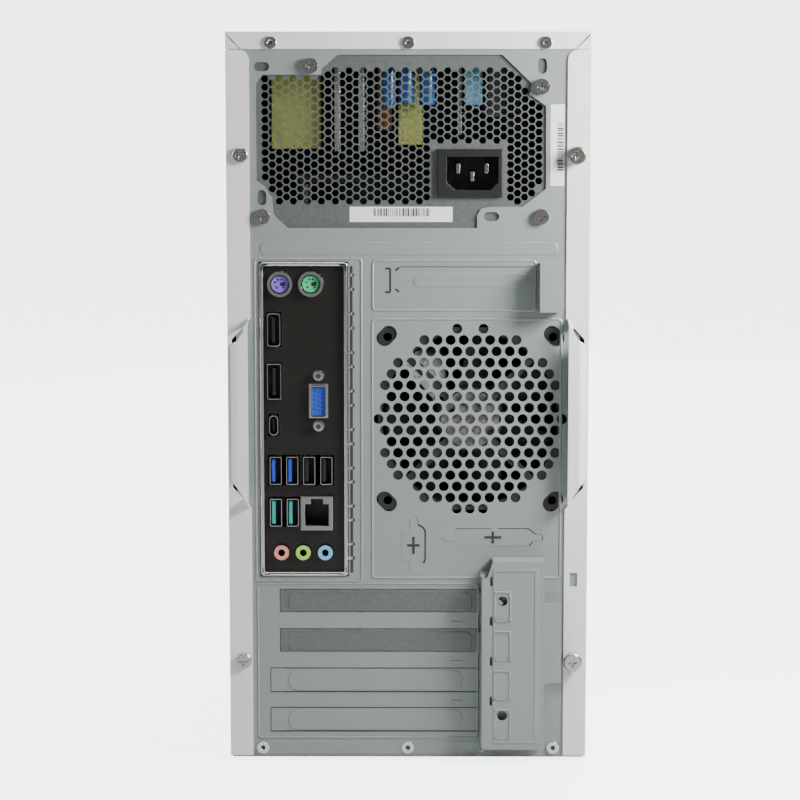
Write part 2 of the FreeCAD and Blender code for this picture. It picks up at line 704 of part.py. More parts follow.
def vga_port():
    """Analogue display socket behind the shield, with its collar and two jack screws through it."""
    flange = block((38.2, 51.4), ("port_face - 4", "port_face - 2.9"), (168.6, 199.6))
    collar = shell_port(44.8, 184.1, 8.4, 16.2, 7, 0.5)
    insert = block((41.6, 48), ("port_face - 5.2", "port_face - 1.4"), (176.8, 191.4))
    pins = [rod("Y", (44.8 + row * 1.9, 184.1 + (step - 2) * 2.3 + 0.6 * row), "port_face - 3", 3, 0.5)
            for row in (-1, 0, 1) for step in range(5)]
    nuts = [hollow(rod("Y", (44.8, z), "port_face - 3", 3.6, 2.4),
                   [rod("Y", (44.8, z), "port_face - 1.6", 3, 1.3)]) for z in (197, 171.6)]
    base = block((40, "board_top"), ("port_face - 16", "port_face - 11.1"), (170, 198.2))
    neck = block((38.2, 51.4), ("port_face - 11.2", "port_face - 4"), (170, 198.2))
    joined([fused([flange, neck, base]), collar, hollow(insert, pins)] + nuts, "vga_port")


USB_ROW_ONE = [(66.3, 149.2), (58, 149.2), (49.5, 149.2), (40.9, 149.2)]
USB_ROW_TWO = [(66.3, 128), (57.8, 128)]


def usb_ports():
    """Six flat sockets standing upright in two blocks, and one small oval one."""
    pieces = []
    for x, z in USB_ROW_ONE + USB_ROW_TWO:
        pieces.append(fused([shell_port(x, z, 6, 14, 14), tongue(x + 1.1, z, 1.8, 11.6, 14)]))
    bases = [block((37.9, "board_top"), ("port_face - 17", "port_face - 13.9"), (142.2, 156.2)),
             block((54.8, "board_top"), ("port_face - 17", "port_face - 13.9"), (121, 135))]
    oval = fused([block((64.95, 69.45), ("port_face - 10", "port_face - 9"), (167.1, 177.1)),
                  shell_port(67.2, 172.1, 4.5, 10, 9.5), tongue(67.2, 172.1, 0.8, 6.6, 9.5),
                  block_to_board(69.4, 172.1, 9, 9.5)])
    grouped([fused(pieces[:4] + bases[:1]), fused(pieces[4:] + bases[1:]), oval], "usb_ports")


def network_port():
    """Eight-way network socket with its latch slot and two lights."""
    outer = block((37.8, 53.9), ("port_face - 21", "port_face"), (119.2, 136.2))
    base = block((37.8, "board_top"), ("port_face - 21", "port_face - 17.2"), (119.2, 136.2))
    mouth = block((39.9, 51.7), ("port_face - 13", "port_face + 1"), (121.2, 132.2))
    latch = block((42.8, 48.8), ("port_face - 9", "port_face + 1"), (132, 135))
    without(fused([outer, base]), [fused([mouth, latch])], "network_port")


def audio_jacks():
    """Three round sound sockets in a row."""
    pieces = [hollow(rod("Y", (x, 107.5), "port_face - 12", 12, 3.75),
                     [rod("Y", (x, 107.5), "port_face - 10", 11, 1.75)])
              for x in (63.6, 52.7, 41.6)]
    base = block((37.8, "board_top"), ("port_face - 15", "port_face - 11.9"), (102, 113))
    joined(pieces + [base], "audio_jacks")


def processor():
    """Socket frame with the processor's lid in it."""
    middle, height = "cooler_along", "cooler_height"
    frame = block(("board_top - 4", "board_top"), (f"{middle} - 26", f"{middle} + 26"),
                  (f"{height} - 26", f"{height} + 26"))
    lid = block(("board_top - 7.5", "board_top - 4"), (f"{middle} - 19", f"{middle} + 19"),
                (f"{height} - 19", f"{height} + 19"))
    joined([frame, lid], "processor")


def processor_heatsink():
    """Aluminium base with upright fins cut as a row of slots."""
    body = new_body("processor_heatsink")
    half = "(cooler_fan / 2)"
    pad(body, "X", ("board_top - 39.5", "board_top - 7.5"),
        rect((f"cooler_along - {half}", f"cooler_height - {half}"),
             (f"cooler_along + {half}", f"cooler_height + {half}")))
    slots = [rect((f"cooler_along - {half} + {2 + 4 * step}", f"cooler_height - {half} + 1.5"),
                  (f"cooler_along - {half} + {4.6 + 4 * step}", f"cooler_height + {half} - 1.5"))
             for step in range(19)]
    pocket(body, "X", ("board_top - 39.5", "board_top - 13.5"), *slots)


def memory_sockets():
    """Two long sockets with end latches."""
    pieces = []
    for along in (34, 44):
        rail = block(("board_top - 7", "board_top"), (along, along + 6.5), (118, 252))
        groove = block(("board_top - 8", "board_top - 3"), (along + 2.4, along + 4.1), (118.2, 251.8))
        latches = [block(("board_top - 15", "board_top - 6.9"), (along + 1, along + 5.5), ends)
                   for ends in ((114.6, 117.6), (252.4, 255.4))]
        ends = [block(("board_top - 7", "board_top"), (along, along + 6.5), pair)
                for pair in ((114.6, 118.1), (251.9, 255.4))]
        pieces.append(fused([hollow(rail, [groove])] + ends + latches))
    grouped(pieces, "memory_sockets")


def memory_modules():
    """Two memory boards with eight chips on one face of each."""
    pieces = []
    for along in (34, 44):
        board = block(("board_top - 34", "board_top - 3"), (along + 2.6, along + 3.9), (118.4, 251.6))
        chips = [block(("board_top - 28", "board_top - 14"), (along + 3.8, along + 4.9),
                       (123 + 16 * step, 123 + 16 * step + 9)) for step in range(8)]
        pieces.append(fused([board] + chips))
    grouped(pieces, "memory_modules")


def expansion_sockets():
    """One long and three short card sockets in line with the slot covers."""
    pieces = []
    for level, length in enumerate((24, 89, 24, 24)):
        middle = f"slot_first + {level} * slot_pitch"
        rail = block(("board_top - 11", "board_top"), (f"134 - {length}", 134),
                     (f"{middle} - 3.7", f"{middle} + 3.7"))
        groove = block(("board_top - 12", "board_top - 3"), (f"135.5 - {length}", 132.5),
                       (f"{middle} - 0.8", f"{middle} + 0.8"))
        pieces.append(hollow(rail, [groove]))
    grouped(pieces, "expansion_sockets")


def chipset_heatsink():
    """Small finned block over the board's second chip."""
    body = new_body("chipset_heatsink")
    pad(body, "X", ("board_top - 14", "board_top"), rect((-36, 64), (2, 102)))
    pocket(body, "X", ("board_top - 14", "board_top - 4"),
           *[rect((-33 + 5 * step, 65), (-30.4 + 5 * step, 101)) for step in range(7)])


def board_capacitors():
    """Upright capacitors beside the processor and the sound jacks."""
    places = [(62, 166 + 11 * step) for step in range(5)]
    places += [(70 + 10 * step, 244) for step in range(6)]
    places += [(150, 96 + 9 * step) for step in range(2)]
    places += [(20, 40 + 10 * step) for step in range(4)]
    grouped([rod("X", centre, "board_top - 9", 9, 3.1) for centre in places], "board_capacitors")


def board_connectors():
    """Power and data headers along the edges of the board."""
    main = hollow(block(("board_top - 13", "board_top"), (-58, -46), (150, 202)),
                  [block(("board_top - 14", "board_top - 4"), (-56, -48), (152, 200))])
    corner = hollow(block(("board_top - 13", "board_top"), (150, 166), (230, 246)),
                    [block(("board_top - 14", "board_top - 4"), (152, 164), (232, 244))])
    data = [hollow(block(("board_top - 9", "board_top"), (-57, -49), (low, low + 15)),
                   [block(("board_top - 10", "board_top - 3"), (-55.6, -50.4), (low + 2, low + 13))])
            for low in (40, 60, 80, 100)]
    front = block(("board_top - 9", "board_top"), (-46, -34), (16, 21))
    grouped([main, corner, front] + data, "board_connectors")


# ---------------------------------------------------------------- power supply
def psu_case():
    """Sheet box, open at the connector end, with a fan opening underneath."""
    body = new_body("psu_case")
    right, left = "psu_left - psu_width", "psu_left"
    low, high = "psu_low", "psu_low + psu_height"
    front, back = "rear_face - 1 - psu_depth", "rear_face - 1.8"
    pad(body, "Y", (front, back), rect((right, low), (left, high)),
        rect((f"{right} + plate", f"{low} + plate"), (f"{left} - plate", f"{high} - plate")))
    pad(body, "Y", (front, f"{front} + plate"), rect((right, low), (left, high)),
        {"centre": (60, 288), "radius": 6})
    pocket(body, "Z", (low, f"{low} + plate"),
           {"centre": ("psu_fan_across", "psu_fan_along"), "radius": "psu_fan / 2 - 2.5"})


HEX_FLATS = 3.3
HEX_RISE = 4.0
HEX_RUN = 3.467


def in_outline(x, z, points):
    """Whether a point is inside a closed outline."""
    inside = False
    for (x1, z1), (x2, z2) in zip(points, points[1:] + points[:1]):
        if (z1 > z) != (z2 > z) and x < (x2 - x1) * (z - z1) / (z2 - z1) + x1:
            inside = not inside
    return inside


def honeycomb(plane):
    """Hexagonal holes that stay inside the window and clear of the inlet."""
    radius = HEX_FLATS / math.sqrt(3)
    corners = [(radius * math.cos(math.radians(60 * k)), radius * math.sin(math.radians(60 * k)))
               for k in range(7)]
    wires = []
    for column in range(40):
        for row in range(17):
            x = 70.7 - HEX_RUN * column
            z = 283.9 + HEX_RISE * row + (HEX_RISE / 2) * (column % 2)
            near_inlet = -49.5 < x < -11.5 and z < 312
            if near_inlet or z > 349 or not all(
                    in_outline(x + 1.25 * a, z + 1.25 * b, PSU_WINDOW) for a, b in corners):
                continue
            wires.append(Part.makePolygon([Vector(x + a, plane, z + b) for a, b in corners]))
    return wires


def psu_rear_plate():
    """Perforated end plate of the power supply, behind the window of the rear panel."""
    plane = dim["rear_face"] - 1.8
    right, left = dim["psu_left"] - dim["psu_width"], dim["psu_left"]
    low, high = dim["psu_low"], dim["psu_low"] + dim["psu_height"]
    edge = Part.makePolygon([Vector(x, plane, z) for x, z in (
        (right, low), (left, low), (left, high), (right, high), (right, low))])
    inlet = Part.makePolygon([Vector(x, plane, z) for x, z in (
        (-46, 286.4), (-15, 286.4), (-15, 309.1), (-46, 309.1), (-46, 286.4))])
    holes = [Part.Wire(Part.makeCircle(1.6, Vector(x, plane, z), Vector(0, 1, 0)))
             for x, z in PSU_HOLES]
    face = Part.makeFace([edge, inlet] + holes + honeycomb(plane), "Part::FaceMakerBullseye")
    node(solid(face.extrude(Vector(0, dim["plate"], 0)), "psu_rear_plate"), "psu_rear_plate")


INLET_BLADES = [(-38.75, 300), (-31.75, 296), (-24.75, 300)]      # X, Z


def power_inlet():
    """Moulded mains inlet with a keyed recess."""
    body = new_body("power_inlet")
    pad(body, "Y", ("rear_face - 1", "rear_face + 1.2"), rect((-46.6, 285.9), (-14.4, 309.6)))
    pad(body, "Y", ("rear_face - 19", "rear_face - 0.9"), rect((-45.5, 286.9), (-15.5, 308.6)))
    pocket(body, "Y", ("rear_face - 19", "rear_face - 15"),
           *[rect((x - 1, z - 2.5), (x + 1, z + 2.5)) for x, z in INLET_BLADES])
    pocket(body, "Y", ("rear_face - 15", "rear_face + 1.3"),
           [(-44.4, 305.8), (-44.4, 293.3), (-40.4, 289.3), (-23.1, 289.3), (-19.1, 293.3),
            (-19.1, 305.8)])


def inlet_pins():
    """Three flat contact blades of the mains inlet."""
    pieces = [block((x - 1, x + 1), ("rear_face - 22", "rear_face - 2"), (z - 2.5, z + 2.5))
              for x, z in INLET_BLADES]
    grouped(pieces, "inlet_pins")


def psu_circuit_board():
    """Board under the roof of the power supply."""
    piece = block((-68, 74), (58, 178), (350, 351.6))
    node(piece, "psu_circuit_board")


def hanging(boxes, label):
    """Blocks that hang from the supply's circuit board: X low, X high, Y low, Y high, Z low."""
    grouped([block((x1, x2), (y1, y2), (z, 350)) for x1, x2, y1, y2, z in boxes], label)


def psu_parts():
    """Transformers, heatsinks and capacitors of the power supply."""
    hanging([(44, 69, 132, 160, 309), (-7, 5, 140, 156, 311), (8, 16, 120, 136, 318)],
            "psu_transformers")
    hanging([(34, 37, 70, 168, 308), (22, 25, 70, 168, 308), (-27, -25, 100, 160, 316)],
            "psu_heatsinks")
    cans = [rod("Z", (x, y), z, f"350 - {z}", r) for x, y, z, r in (
        (10, 166, 330, 4), (1, 166, 332, 4), (-9.5, 166, 331, 4), (-44, 160, 325, 6),
        (56, 106, 312, 11), (-55, 120, 318, 8))]
    film = block((-37, -28.5), (162, 170), (331, 350))
    grouped(cans + [film], "psu_capacitors")


def psu_screws():
    """Four screws through the rear panel into the power supply."""
    pieces = []
    for x, z in PSU_HOLES:
        shank = rod("Y", (x, z), "rear_face - 5", 5, 1.5)
        head = rod("Y", (x, z), "rear_face", 2.4, 3.9)
        cross = fused([block((x - 0.5, x + 0.5), ("rear_face + 1.2", "rear_face + 3"), (z - 2.2, z + 2.2)),
                       block((x - 2.2, x + 2.2), ("rear_face + 1.2", "rear_face + 3"), (z - 0.5, z + 0.5))])
        pieces.append(hollow(fused([shank, head]), [cross]))
    grouped(pieces, "psu_screws")


# ---------------------------------------------------------------- fans
def fan_frame(label, size, placement, struts_up=True):
    """Square frame with a round duct, corner holes, a motor seat and four struts."""
    thick = dim["fan_thick"]
    half = size / 2
    body = Part.makeBox(size, size, thick, Vector(-half, -half, 0))
    body = body.makeFillet(4, [edge for edge in body.Edges if abs(edge.BoundBox.ZLength - thick) < 0.1])
    duct = Part.makeCylinder(half - 2, thick + 2, Vector(0, 0, -1))
    spread = half - 4.8
    screws = [Part.makeCylinder(2.15, thick + 2, Vector(a * spread, b * spread, -1))
              for a in (-1, 1) for b in (-1, 1)]
    belt = Part.makeBox(size, size, thick - 8, Vector(-half, -half, 4))
    belt = belt.cut(Part.makeCylinder(half + 1.5, thick))
    pillars = [Part.makeCylinder(4.2, thick, Vector(a * spread, b * spread, 0))
               for a in (-1, 1) for b in (-1, 1)]
    shape = body.cut(belt).fuse(pillars).cut(Part.makeCompound([duct] + screws))
    motor = [Part.makeCylinder(16, 3)]
    for turn in range(4):
        strut = Part.makeBox(half - 14, 4, 3, Vector(14, -2, 0))
        strut.rotate(Vector(), Vector(0, 0, 1), 45 + 90 * turn - 45 * (not struts_up))
        motor.append(strut)
    shape = shape.fuse(motor).common(Part.makeBox(size, size, thick, Vector(-half, -half, 0)))
    piece = node(solid(shape, label), label)
    piece.Placement = placement
    return piece


def fan_rotor(label, size, placement):
    """Hub with seven pitched blades; it turns about the middle of its frame."""
    thick = dim["fan_thick"]
    hub = Part.makeCylinder(17, thick - 5, Vector(0, 0, 4))
    reach = size / 2 - 3.5
    blades = []
    for count in range(7):
        blade = Part.makeBox(reach - 14, 22, 1.4, Vector(14, -11, -0.7))
        blade.rotate(Vector(), Vector(1, 0, 0), 32)
        blade.translate(Vector(0, 0, thick / 2 + 1.5))
        blade.rotate(Vector(), Vector(0, 0, 1), 360 / 7 * count)
        blades.append(blade)
    ring = Part.makeCylinder(reach, thick - 5, Vector(0, 0, 4))
    shape = hub.fuse(blades).common(ring)
    piece = node(solid(shape.removeSplitter(), label), label)
    piece.Placement = placement
    return piece


def fans():
    """Case fan, processor fan and power supply fan, each a frame and a rotor."""
    rear = Placement(Vector(dim["case_fan_across"], dim["rear_face"] - dim["plate"],
                            dim["case_fan_height"]), Rotation(Vector(1, 0, 0), 90))
    fan_frame("case_fan_frame", dim["case_fan"], rear)
    fan_rotor("case_fan_rotor", dim["case_fan"], rear)
    cooler = Placement(Vector(dim["board_top"] - 39.5, dim["cooler_along"], dim["cooler_height"]),
                       Rotation(Vector(0, 1, 0), -90))
    fan_frame("processor_fan_frame", dim["cooler_fan"], cooler)
    fan_rotor("processor_fan_rotor", dim["cooler_fan"], cooler)
    supply = Placement(Vector(dim["psu_fan_across"], dim["psu_fan_along"],
                              dim["psu_low"] + dim["plate"]), Rotation())
    fan_frame("psu_fan_frame", dim["psu_fan"], supply, struts_up=False)
    fan_rotor("psu_fan_rotor", dim["psu_fan"], supply)


def psu_fan_guard():
    """Wire rings under the power supply fan, joined by four spokes."""
    pieces = []
    for radius in (16, 28, 40, 52):
        ring = doc.addObject("Part::Torus", "ring")
        ring.Radius1 = radius
        ring.Radius2 = 0.9
        ring.setExpression("Placement.Base.x", formula("psu_fan_across"))
        ring.setExpression("Placement.Base.y", formula("psu_fan_along"))
        ring.setExpression("Placement.Base.z", formula("psu_low - 2.6"))
        pieces.append(ring)
    for x1, x2, y1, y2 in ((-59, 59, -1, 1), (-1, 1, -59, 59)):
        pieces.append(block((f"psu_fan_across + {x1}", f"psu_fan_across + {x2}"),
                            (f"psu_fan_along + {y1}", f"psu_fan_along + {y2}"),
                            ("psu_low - 2.2", "psu_low - 0.05")))
    joined(pieces, "psu_fan_guard")


# ---------------------------------------------------------------- drives and cables
def optical_drive_case():
    """Steel box of the disc drive, open at the front, with a plastic front frame."""
    low, high = "bay_low", "bay_low + bay_height"
    box = block(("-bay_half", "bay_half"), ("bezel_back + 1", 0), (low, high))
    room = block(("-bay_half + 1", "bay_half - 1"), ("bezel_back", -2), (f"{low} + 1", f"{high} - 1"))
    frame = block(("-bay_half", "bay_half"), ("front_face + 3", "bezel_back + 1.1"), (low, high))
    mouth = block((-68, 68), ("front_face", "bezel_back + 2"), (f"{low} + 14", f"{high} - 6"))
    button = block((49, 61), ("front_face", "bezel_back + 2"), (f"{low} + 4", f"{low} + 10"))
    without(fused([hollow(box, [room]), frame]), [mouth, button], "optical_drive_case")


def disc_tray():
    """Sliding tray with a round disc recess and its front strip."""
    body = new_body("disc_tray")
    low = "bay_low + 20"
    pad(body, "Z", (low, f"{low} + 5"), rect((-64.5, "front_face + 1"), (64.5, -40)))
    pad(body, "Y", ("front_face + 1", "front_face + 4"),
        rect((-66.5, "bay_low + 15"), (66.5, "bay_low + bay_height - 7")))
    pocket(body, "Z", (f"{low} + 3", f"{low} + 5"), {"centre": (0, -132), "radius": 60.5})
    pocket(body, "Z", (f"{low} + 2", f"{low} + 3"), {"centre": (0, -132), "radius": 41})
    pocket(body, "Z", (low, f"{low} + 2"), rect((-17, -150), (17, -66)))


def hard_drive():
    """3.5 inch disk drive with a raised lid and its circuit board below."""
    low = "disk_low"
    body = new_body("hard_drive")
    pad(body, "Z", (f"{low} + 1.6", f"{low} + 22"), rect(("-disk_half", -160), ("disk_half", -13)))
    pad(body, "Z", (f"{low} + 22", f"{low} + 26.1"), rect(("-disk_half + 3", -156), ("disk_half - 3", -22)))
    pad(body, "Z", (low, f"{low} + 1.6"), rect(("-disk_half + 4", -100), ("disk_half - 4", -14)))


def hard_drive_cage():
    """Folded bracket on the floor that holds the disk by its sides."""
    base, top = "foot_height + plate", "disk_low + 30"
    body = new_body("hard_drive_cage")
    for side in (-1, 1):
        wall = across(side, "disk_half + gap", "disk_half + gap + 0.9")
        foot = across(side, "disk_half + gap", "disk_half + gap + 13")
        pad(body, "X", wall,
            rect((-158, base), (-16, top)),
            rect((-140, "disk_low + 16"), (-110, "disk_low + 22")),
            rect((-70, "disk_low + 16"), (-40, "disk_low + 22")))
        pad(body, "Z", (base, f"{base} + plate"), rect((foot[0], -158), (foot[1], -16)))


def cable(points, radius):
    """Round cable of straight runs joined by tangent arcs as large as the runs allow."""
    corners = [Vector(*point) for point in points]
    edges = []
    start = corners[0]
    for before, here, after in zip(corners, corners[1:], corners[2:]):
        first, second = (here - before), (after - here)
        turn = first.getAngle(second)
        shorter = min(first.Length, second.Length)
        bend = 0.45 * shorter / math.tan(turn / 2)
        print("cable bend radius", round(bend, 1), "at", round(math.degrees(turn)), "degrees")
        first.normalize()
        second.normalize()
        enter = here - first * 0.45 * shorter
        leave = here + second * 0.45 * shorter
        inward = (second - first).normalize()
        middle = here + inward * (bend / math.cos(turn / 2) - bend)
        edges.append(Part.LineSegment(start, enter).toShape())
        edges.append(Part.Arc(enter, middle, leave).toShape())
        start = leave
    edges.append(Part.LineSegment(start, corners[-1]).toShape())
    path = Part.Wire(edges)
    section = Part.Wire(Part.makeCircle(radius, corners[0], corners[1] - corners[0]))
    tube = path.makePipeShell([section], True, False)
    print("cable volume ratio", round(tube.Volume / (math.pi * radius ** 2 * path.Length), 3))
    return tube


CABLES = {
    "main_power_cable": (4.5, [(60, 44, 288), (60, 27, 286), (58.5, 12, 272), (56, 7, 250), (53, 0, 228),
                               (50, -14, 210), (49, -31, 196), (51, -44, 184), (56, -51, 177),
                               (62.6, -52.5, 175)]),
    "disk_data_cable": (2.5, [(67, -53, 67.5), (56, -52.5, 67), (45, -46, 64), (36, -32, 58),
                              (31, -15, 50), (29, -1, 39), (29, 3, 26), (29, -4, 17),
                              (29, -13, 17)]),
}


def cables():
    """Leads held inside the case all the way."""
    for label, (radius, points) in CABLES.items():
        node(solid(cable(points, radius), label), label)


# ---------------------------------------------------------------- plastic front
def front_bezel():
    """Hollow plastic front with bays, buttons, sockets and a low air grille."""
    body = doc.addObject("PartDesign::Body", "bezel_shell")
    pad(body, "Y", ("front_face", "bezel_back"),
        rect(("-half_width", "foot_height"), ("half_width", "case_top")))
    round_edges(body, 5, lambda middle, edge: middle.y < dim["front_face"] + 1)
    room = block(("-half_width + bezel_wall", "half_width - bezel_wall"),
                 ("front_face + bezel_wall", "bezel_back + 1"),
                 ("foot_height + bezel_wall", "case_top - bezel_wall"))
    back = "front_face + bezel_wall + 1"
    bays = block(("-bay_half - 0.5", "bay_half + 0.5"), ("front_face - 1", back),
                 ("bay_low - 45", "bay_low + bay_height + 0.5"))
    holes = [rod("Y", (0, 236), "front_face - 1", 6, 10.4)]
    holes += [rod("Y", (x, 214), "front_face - 1", 6, 1.6) for x in (-6, 6)]
    window = block((-34.5, 34.5), ("front_face - 1", back), (185.5, 200.5))
    grille = [block((-60, 60), ("front_face - 1", back), (22 + 9 * step, 27 + 9 * step))
              for step in range(9)]
    without(hollow(body, [room]), [bays, window] + holes + grille, "front_bezel")


def bay_cover():
    """Blank plate in the spare drive bay, with two snap legs."""
    body = new_body("bay_cover")
    low, high = "bay_low - 44.6", "bay_low - 0.8"
    pad(body, "Y", ("front_face + 1", "front_face + 4"), rect(("-bay_half", low), ("bay_half", high)))
    for near, far in (("-bay_half + 1", "-bay_half + 3"), ("bay_half - 3", "bay_half - 1")):
        pad(body, "X", (near, far), rect(("front_face + 3", f"{low} + 8"), (-176, f"{high} - 8")))


def front_ports():
    """Panel with two flat sockets and two sound sockets behind a window in the bezel."""
    base = block((-34, 34), ("front_face + 1", "front_face + 14"), (186, 200))
    mouths = [block((x - 6.4, x + 6.4), ("front_face", "front_face + 12"), (190.2, 195.8))
              for x in (-24, -6)]
    tongues = [block((x - 5, x + 5), ("front_face + 2", "front_face + 12.5"), (193.2, 194.8))
               for x in (-24, -6)]
    jacks = [rod("Y", (x, 193), "front_face", 12, 1.8) for x in (13, 26)]
    whole = fused([hollow(base, mouths + jacks)] + tongues)
    node(whole, "front_ports")


def status_lights():
    """Power and disk lights, two short light pipes."""
    grouped([rod("Y", (x, 214), "front_face + 0.3", 8, 1.4) for x in (-6, 6)], "status_lights")


def power_button(radius=10, stem=3):
    """Round push button with a flange behind the bezel and a stem."""
    body = new_body("power_button")
    profile = sketch(body, "X", 0, [[
        (-0.5, 0), (-0.5, radius - 0.8), (0.3, radius), ("bezel_wall + 3", radius),
        ("bezel_wall + 3", radius + 1.4), ("bezel_wall + 4.5", radius + 1.4),
        ("bezel_wall + 4.5", stem), ("bezel_wall + 10", stem), ("bezel_wall + 10", 0)]])
    spin = body.newObject("PartDesign::Revolution", "spin")
    spin.Profile = profile
    spin.ReferenceAxis = (profile, ["H_Axis"])
    spin.Angle = 360
    body.Tip = spin
    body.setExpression("Placement.Base.y", formula("front_face + 0.5"))
    body.setExpression("Placement.Base.z", "236")


def eject_button():
    """Small rectangular button on the front of the disc drive."""
    body = new_body("eject_button")
    pad(body, "Y", ("front_face + 1.6", "front_face + 9"),
        rect((49.4, "bay_low + 4.4"), (60.6, "bay_low + 9.6")))


# ---------------------------------------------------------------- build and write
def build():
    """Make every piece in the order it would go together."""
    chassis_floor()
    rear_panel()
    motherboard_tray()
    chassis_front()
    drive_bay_cage()
    top_cover()
    side_panel("left_side_panel", -1)
    side_panel("right_side_panel", 1)
    panel_screws("left_panel_screws", -1, 4.7, 5.5, 0.6)
    panel_screws("right_panel_screws", 1, 4.0, 2.4, 0.2)
    card_cover()
    slot_covers()
    slot_screws()
    panel_rivets()
    feet()
    motherboard()
    board_standoffs()
    io_shield()
    keyboard_mouse_ports()
    display_ports()
    vga_port()
    usb_ports()
    network_port()
    audio_jacks()
    processor()
    processor_heatsink()
    memory_sockets()
    memory_modules()
    expansion_sockets()
    chipset_heatsink()
    board_capacitors()
    board_connectors()
    psu_case()
    psu_rear_plate()
    power_inlet()
    inlet_pins()
    psu_circuit_board()
    psu_parts()
    psu_screws()
    fans()
    psu_fan_guard()
    optical_drive_case()
    disc_tray()
    hard_drive()
    hard_drive_cage()
    cables()
    front_bezel()
    bay_cover()
    front_ports()
    status_lights()
    power_button()
    eject_button()


build()
doc.recompute()
for piece in doc.Objects:
    if "Invalid" in piece.State or "Error" in piece.State:
        raise RuntimeError(f"{piece.Label} did not build: {piece.State}")
for piece in nodes:
    if piece.Shape.isNull() or not piece.Shape.isValid() or not piece.Shape.Solids:
        raise RuntimeError(f"{piece.Label} has no valid shape")
for piece in nodes:
    piece.Shape.exportStep(f"parts/{piece.Label}.step")
print(len(nodes), "pieces written")
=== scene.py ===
# %% [markdown]
# # A desktop computer tower, seen from its connector side
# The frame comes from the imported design: every sheet, board, socket and fan already stands in its
# place, in metres. This script gives the pieces their finish. It rounds the folded edges, presses
# the ribs into the steel, colours the sockets and builds the parts that a drawing leaves plain.

import math
import random

import bpy
from mathutils import Matrix, Vector


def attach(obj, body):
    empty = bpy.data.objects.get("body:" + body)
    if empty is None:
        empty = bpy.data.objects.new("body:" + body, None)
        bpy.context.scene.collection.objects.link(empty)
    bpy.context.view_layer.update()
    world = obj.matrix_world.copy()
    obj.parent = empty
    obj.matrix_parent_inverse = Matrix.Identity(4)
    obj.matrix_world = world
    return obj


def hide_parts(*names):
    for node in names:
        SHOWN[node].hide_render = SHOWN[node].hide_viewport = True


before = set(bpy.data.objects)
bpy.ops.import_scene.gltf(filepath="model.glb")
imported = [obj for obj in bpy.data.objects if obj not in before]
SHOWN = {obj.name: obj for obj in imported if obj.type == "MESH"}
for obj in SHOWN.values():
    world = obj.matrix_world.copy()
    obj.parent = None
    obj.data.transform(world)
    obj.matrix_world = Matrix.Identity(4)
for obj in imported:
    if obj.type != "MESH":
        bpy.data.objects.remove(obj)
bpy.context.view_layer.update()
MM = 0.001

# %% [markdown]
# ## Helpers
# Blender's operators work on what is selected, so each helper starts by deselecting everything.
# A finished piece keeps its object at the origin, with its place in its mesh, like the frame's own.

# %% Selection and finishing helpers
def clear_selection():
    """Leave edit mode and deselect every object."""
    if bpy.context.object and bpy.context.object.mode != "OBJECT":
        bpy.ops.object.mode_set(mode="OBJECT")
    bpy.ops.object.select_all(action="DESELECT")


def only(piece):
    """Make one object the selected and active one."""
    clear_selection()
    piece.select_set(True)
    bpy.context.view_layer.objects.active = piece
    return piece


def leave():
    """Back to object mode."""
    bpy.ops.object.mode_set(mode="OBJECT")


def settle(piece, name, smooth=35):
    """Name a piece, put its place into its mesh and smooth its gentle edges."""
    only(piece)
    bpy.ops.object.transform_apply(location=True, rotation=True, scale=True)
    piece.name = name
    piece.data.name = name
    bpy.ops.object.shade_smooth_by_angle(angle=math.radians(smooth))
    flat = piece.modifiers.new("flat_faces", "WEIGHTED_NORMAL")
    flat.keep_sharp = True
    bpy.ops.object.modifier_apply(modifier=flat.name)
    return piece


def bevelled(piece, width, segments=2, angle=30):
    """Round the sharp edges with a bevel modifier and apply it."""
    only(piece)
    soft = piece.modifiers.new("round", "BEVEL")
    soft.width = width
    soft.segments = segments
    soft.limit_method = "ANGLE"
    soft.angle_limit = math.radians(angle)
    soft.use_clamp_overlap = True
    bpy.ops.object.modifier_apply(modifier=soft.name)
    return piece


def box_piece(name, low, high):
    """Cube stretched between two corners, in metres."""
    clear_selection()
    middle = [(a + b) / 2 for a, b in zip(low, high)]
    bpy.ops.mesh.primitive_cube_add(size=1, location=middle)
    piece = bpy.context.object
    piece.scale = [abs(b - a) for a, b in zip(low, high)]
    bpy.ops.object.transform_apply(location=True, rotation=True, scale=True)
    piece.name = name
    return piece


TURN_TO = {"X": (0, math.pi / 2, 0), "Y": (-math.pi / 2, 0, 0), "Z": (0, 0, 0)}


def round_piece(name, centre, radius, depth, axis="Y", sides=32):
    """Cylinder along an axis, its caps at both ends of depth from the centre."""
    clear_selection()
    bpy.ops.mesh.primitive_cylinder_add(vertices=sides, radius=radius, depth=depth, location=centre,
                                        rotation=TURN_TO[axis])
    piece = bpy.context.object
    bpy.ops.object.transform_apply(location=True, rotation=True, scale=True)
    piece.name = name
    return piece


def join(pieces, name):
    """Join several objects into one piece."""
    only(pieces[0])
    for piece in pieces:
        piece.select_set(True)
    bpy.ops.object.join()
    whole = bpy.context.object
    whole.name = name
    whole.data.name = name
    return whole


def dress(piece, finish, body="chassis"):
    """Give a piece its material and its body."""
    piece.data.materials.clear()
    piece.data.materials.append(finish)
    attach(piece, body)
    return piece


print("helpers ready")

# %% [markdown]
# ## Camera, floor and light
# The tower stands on a pale floor. The camera looks straight at the rear face from a little over a
# metre away, level with the top of the case, and tips down by seven degrees. A small key light
# stands close to the right-hand flange, as seen from behind: it draws the shadows of the ledges and
# falls off across the panel. Broad weak lights fill the other sides. The floor and the air look
# white to the camera only, so that the tower is lit by the lamps.

# %% Camera
LENS, SENSOR = 113.35, 36
CAMERA_PLACE = (-0.00156, 1.436, 0.3363)
TIP_DOWN, SWING = math.radians(6.915), math.radians(0.257)


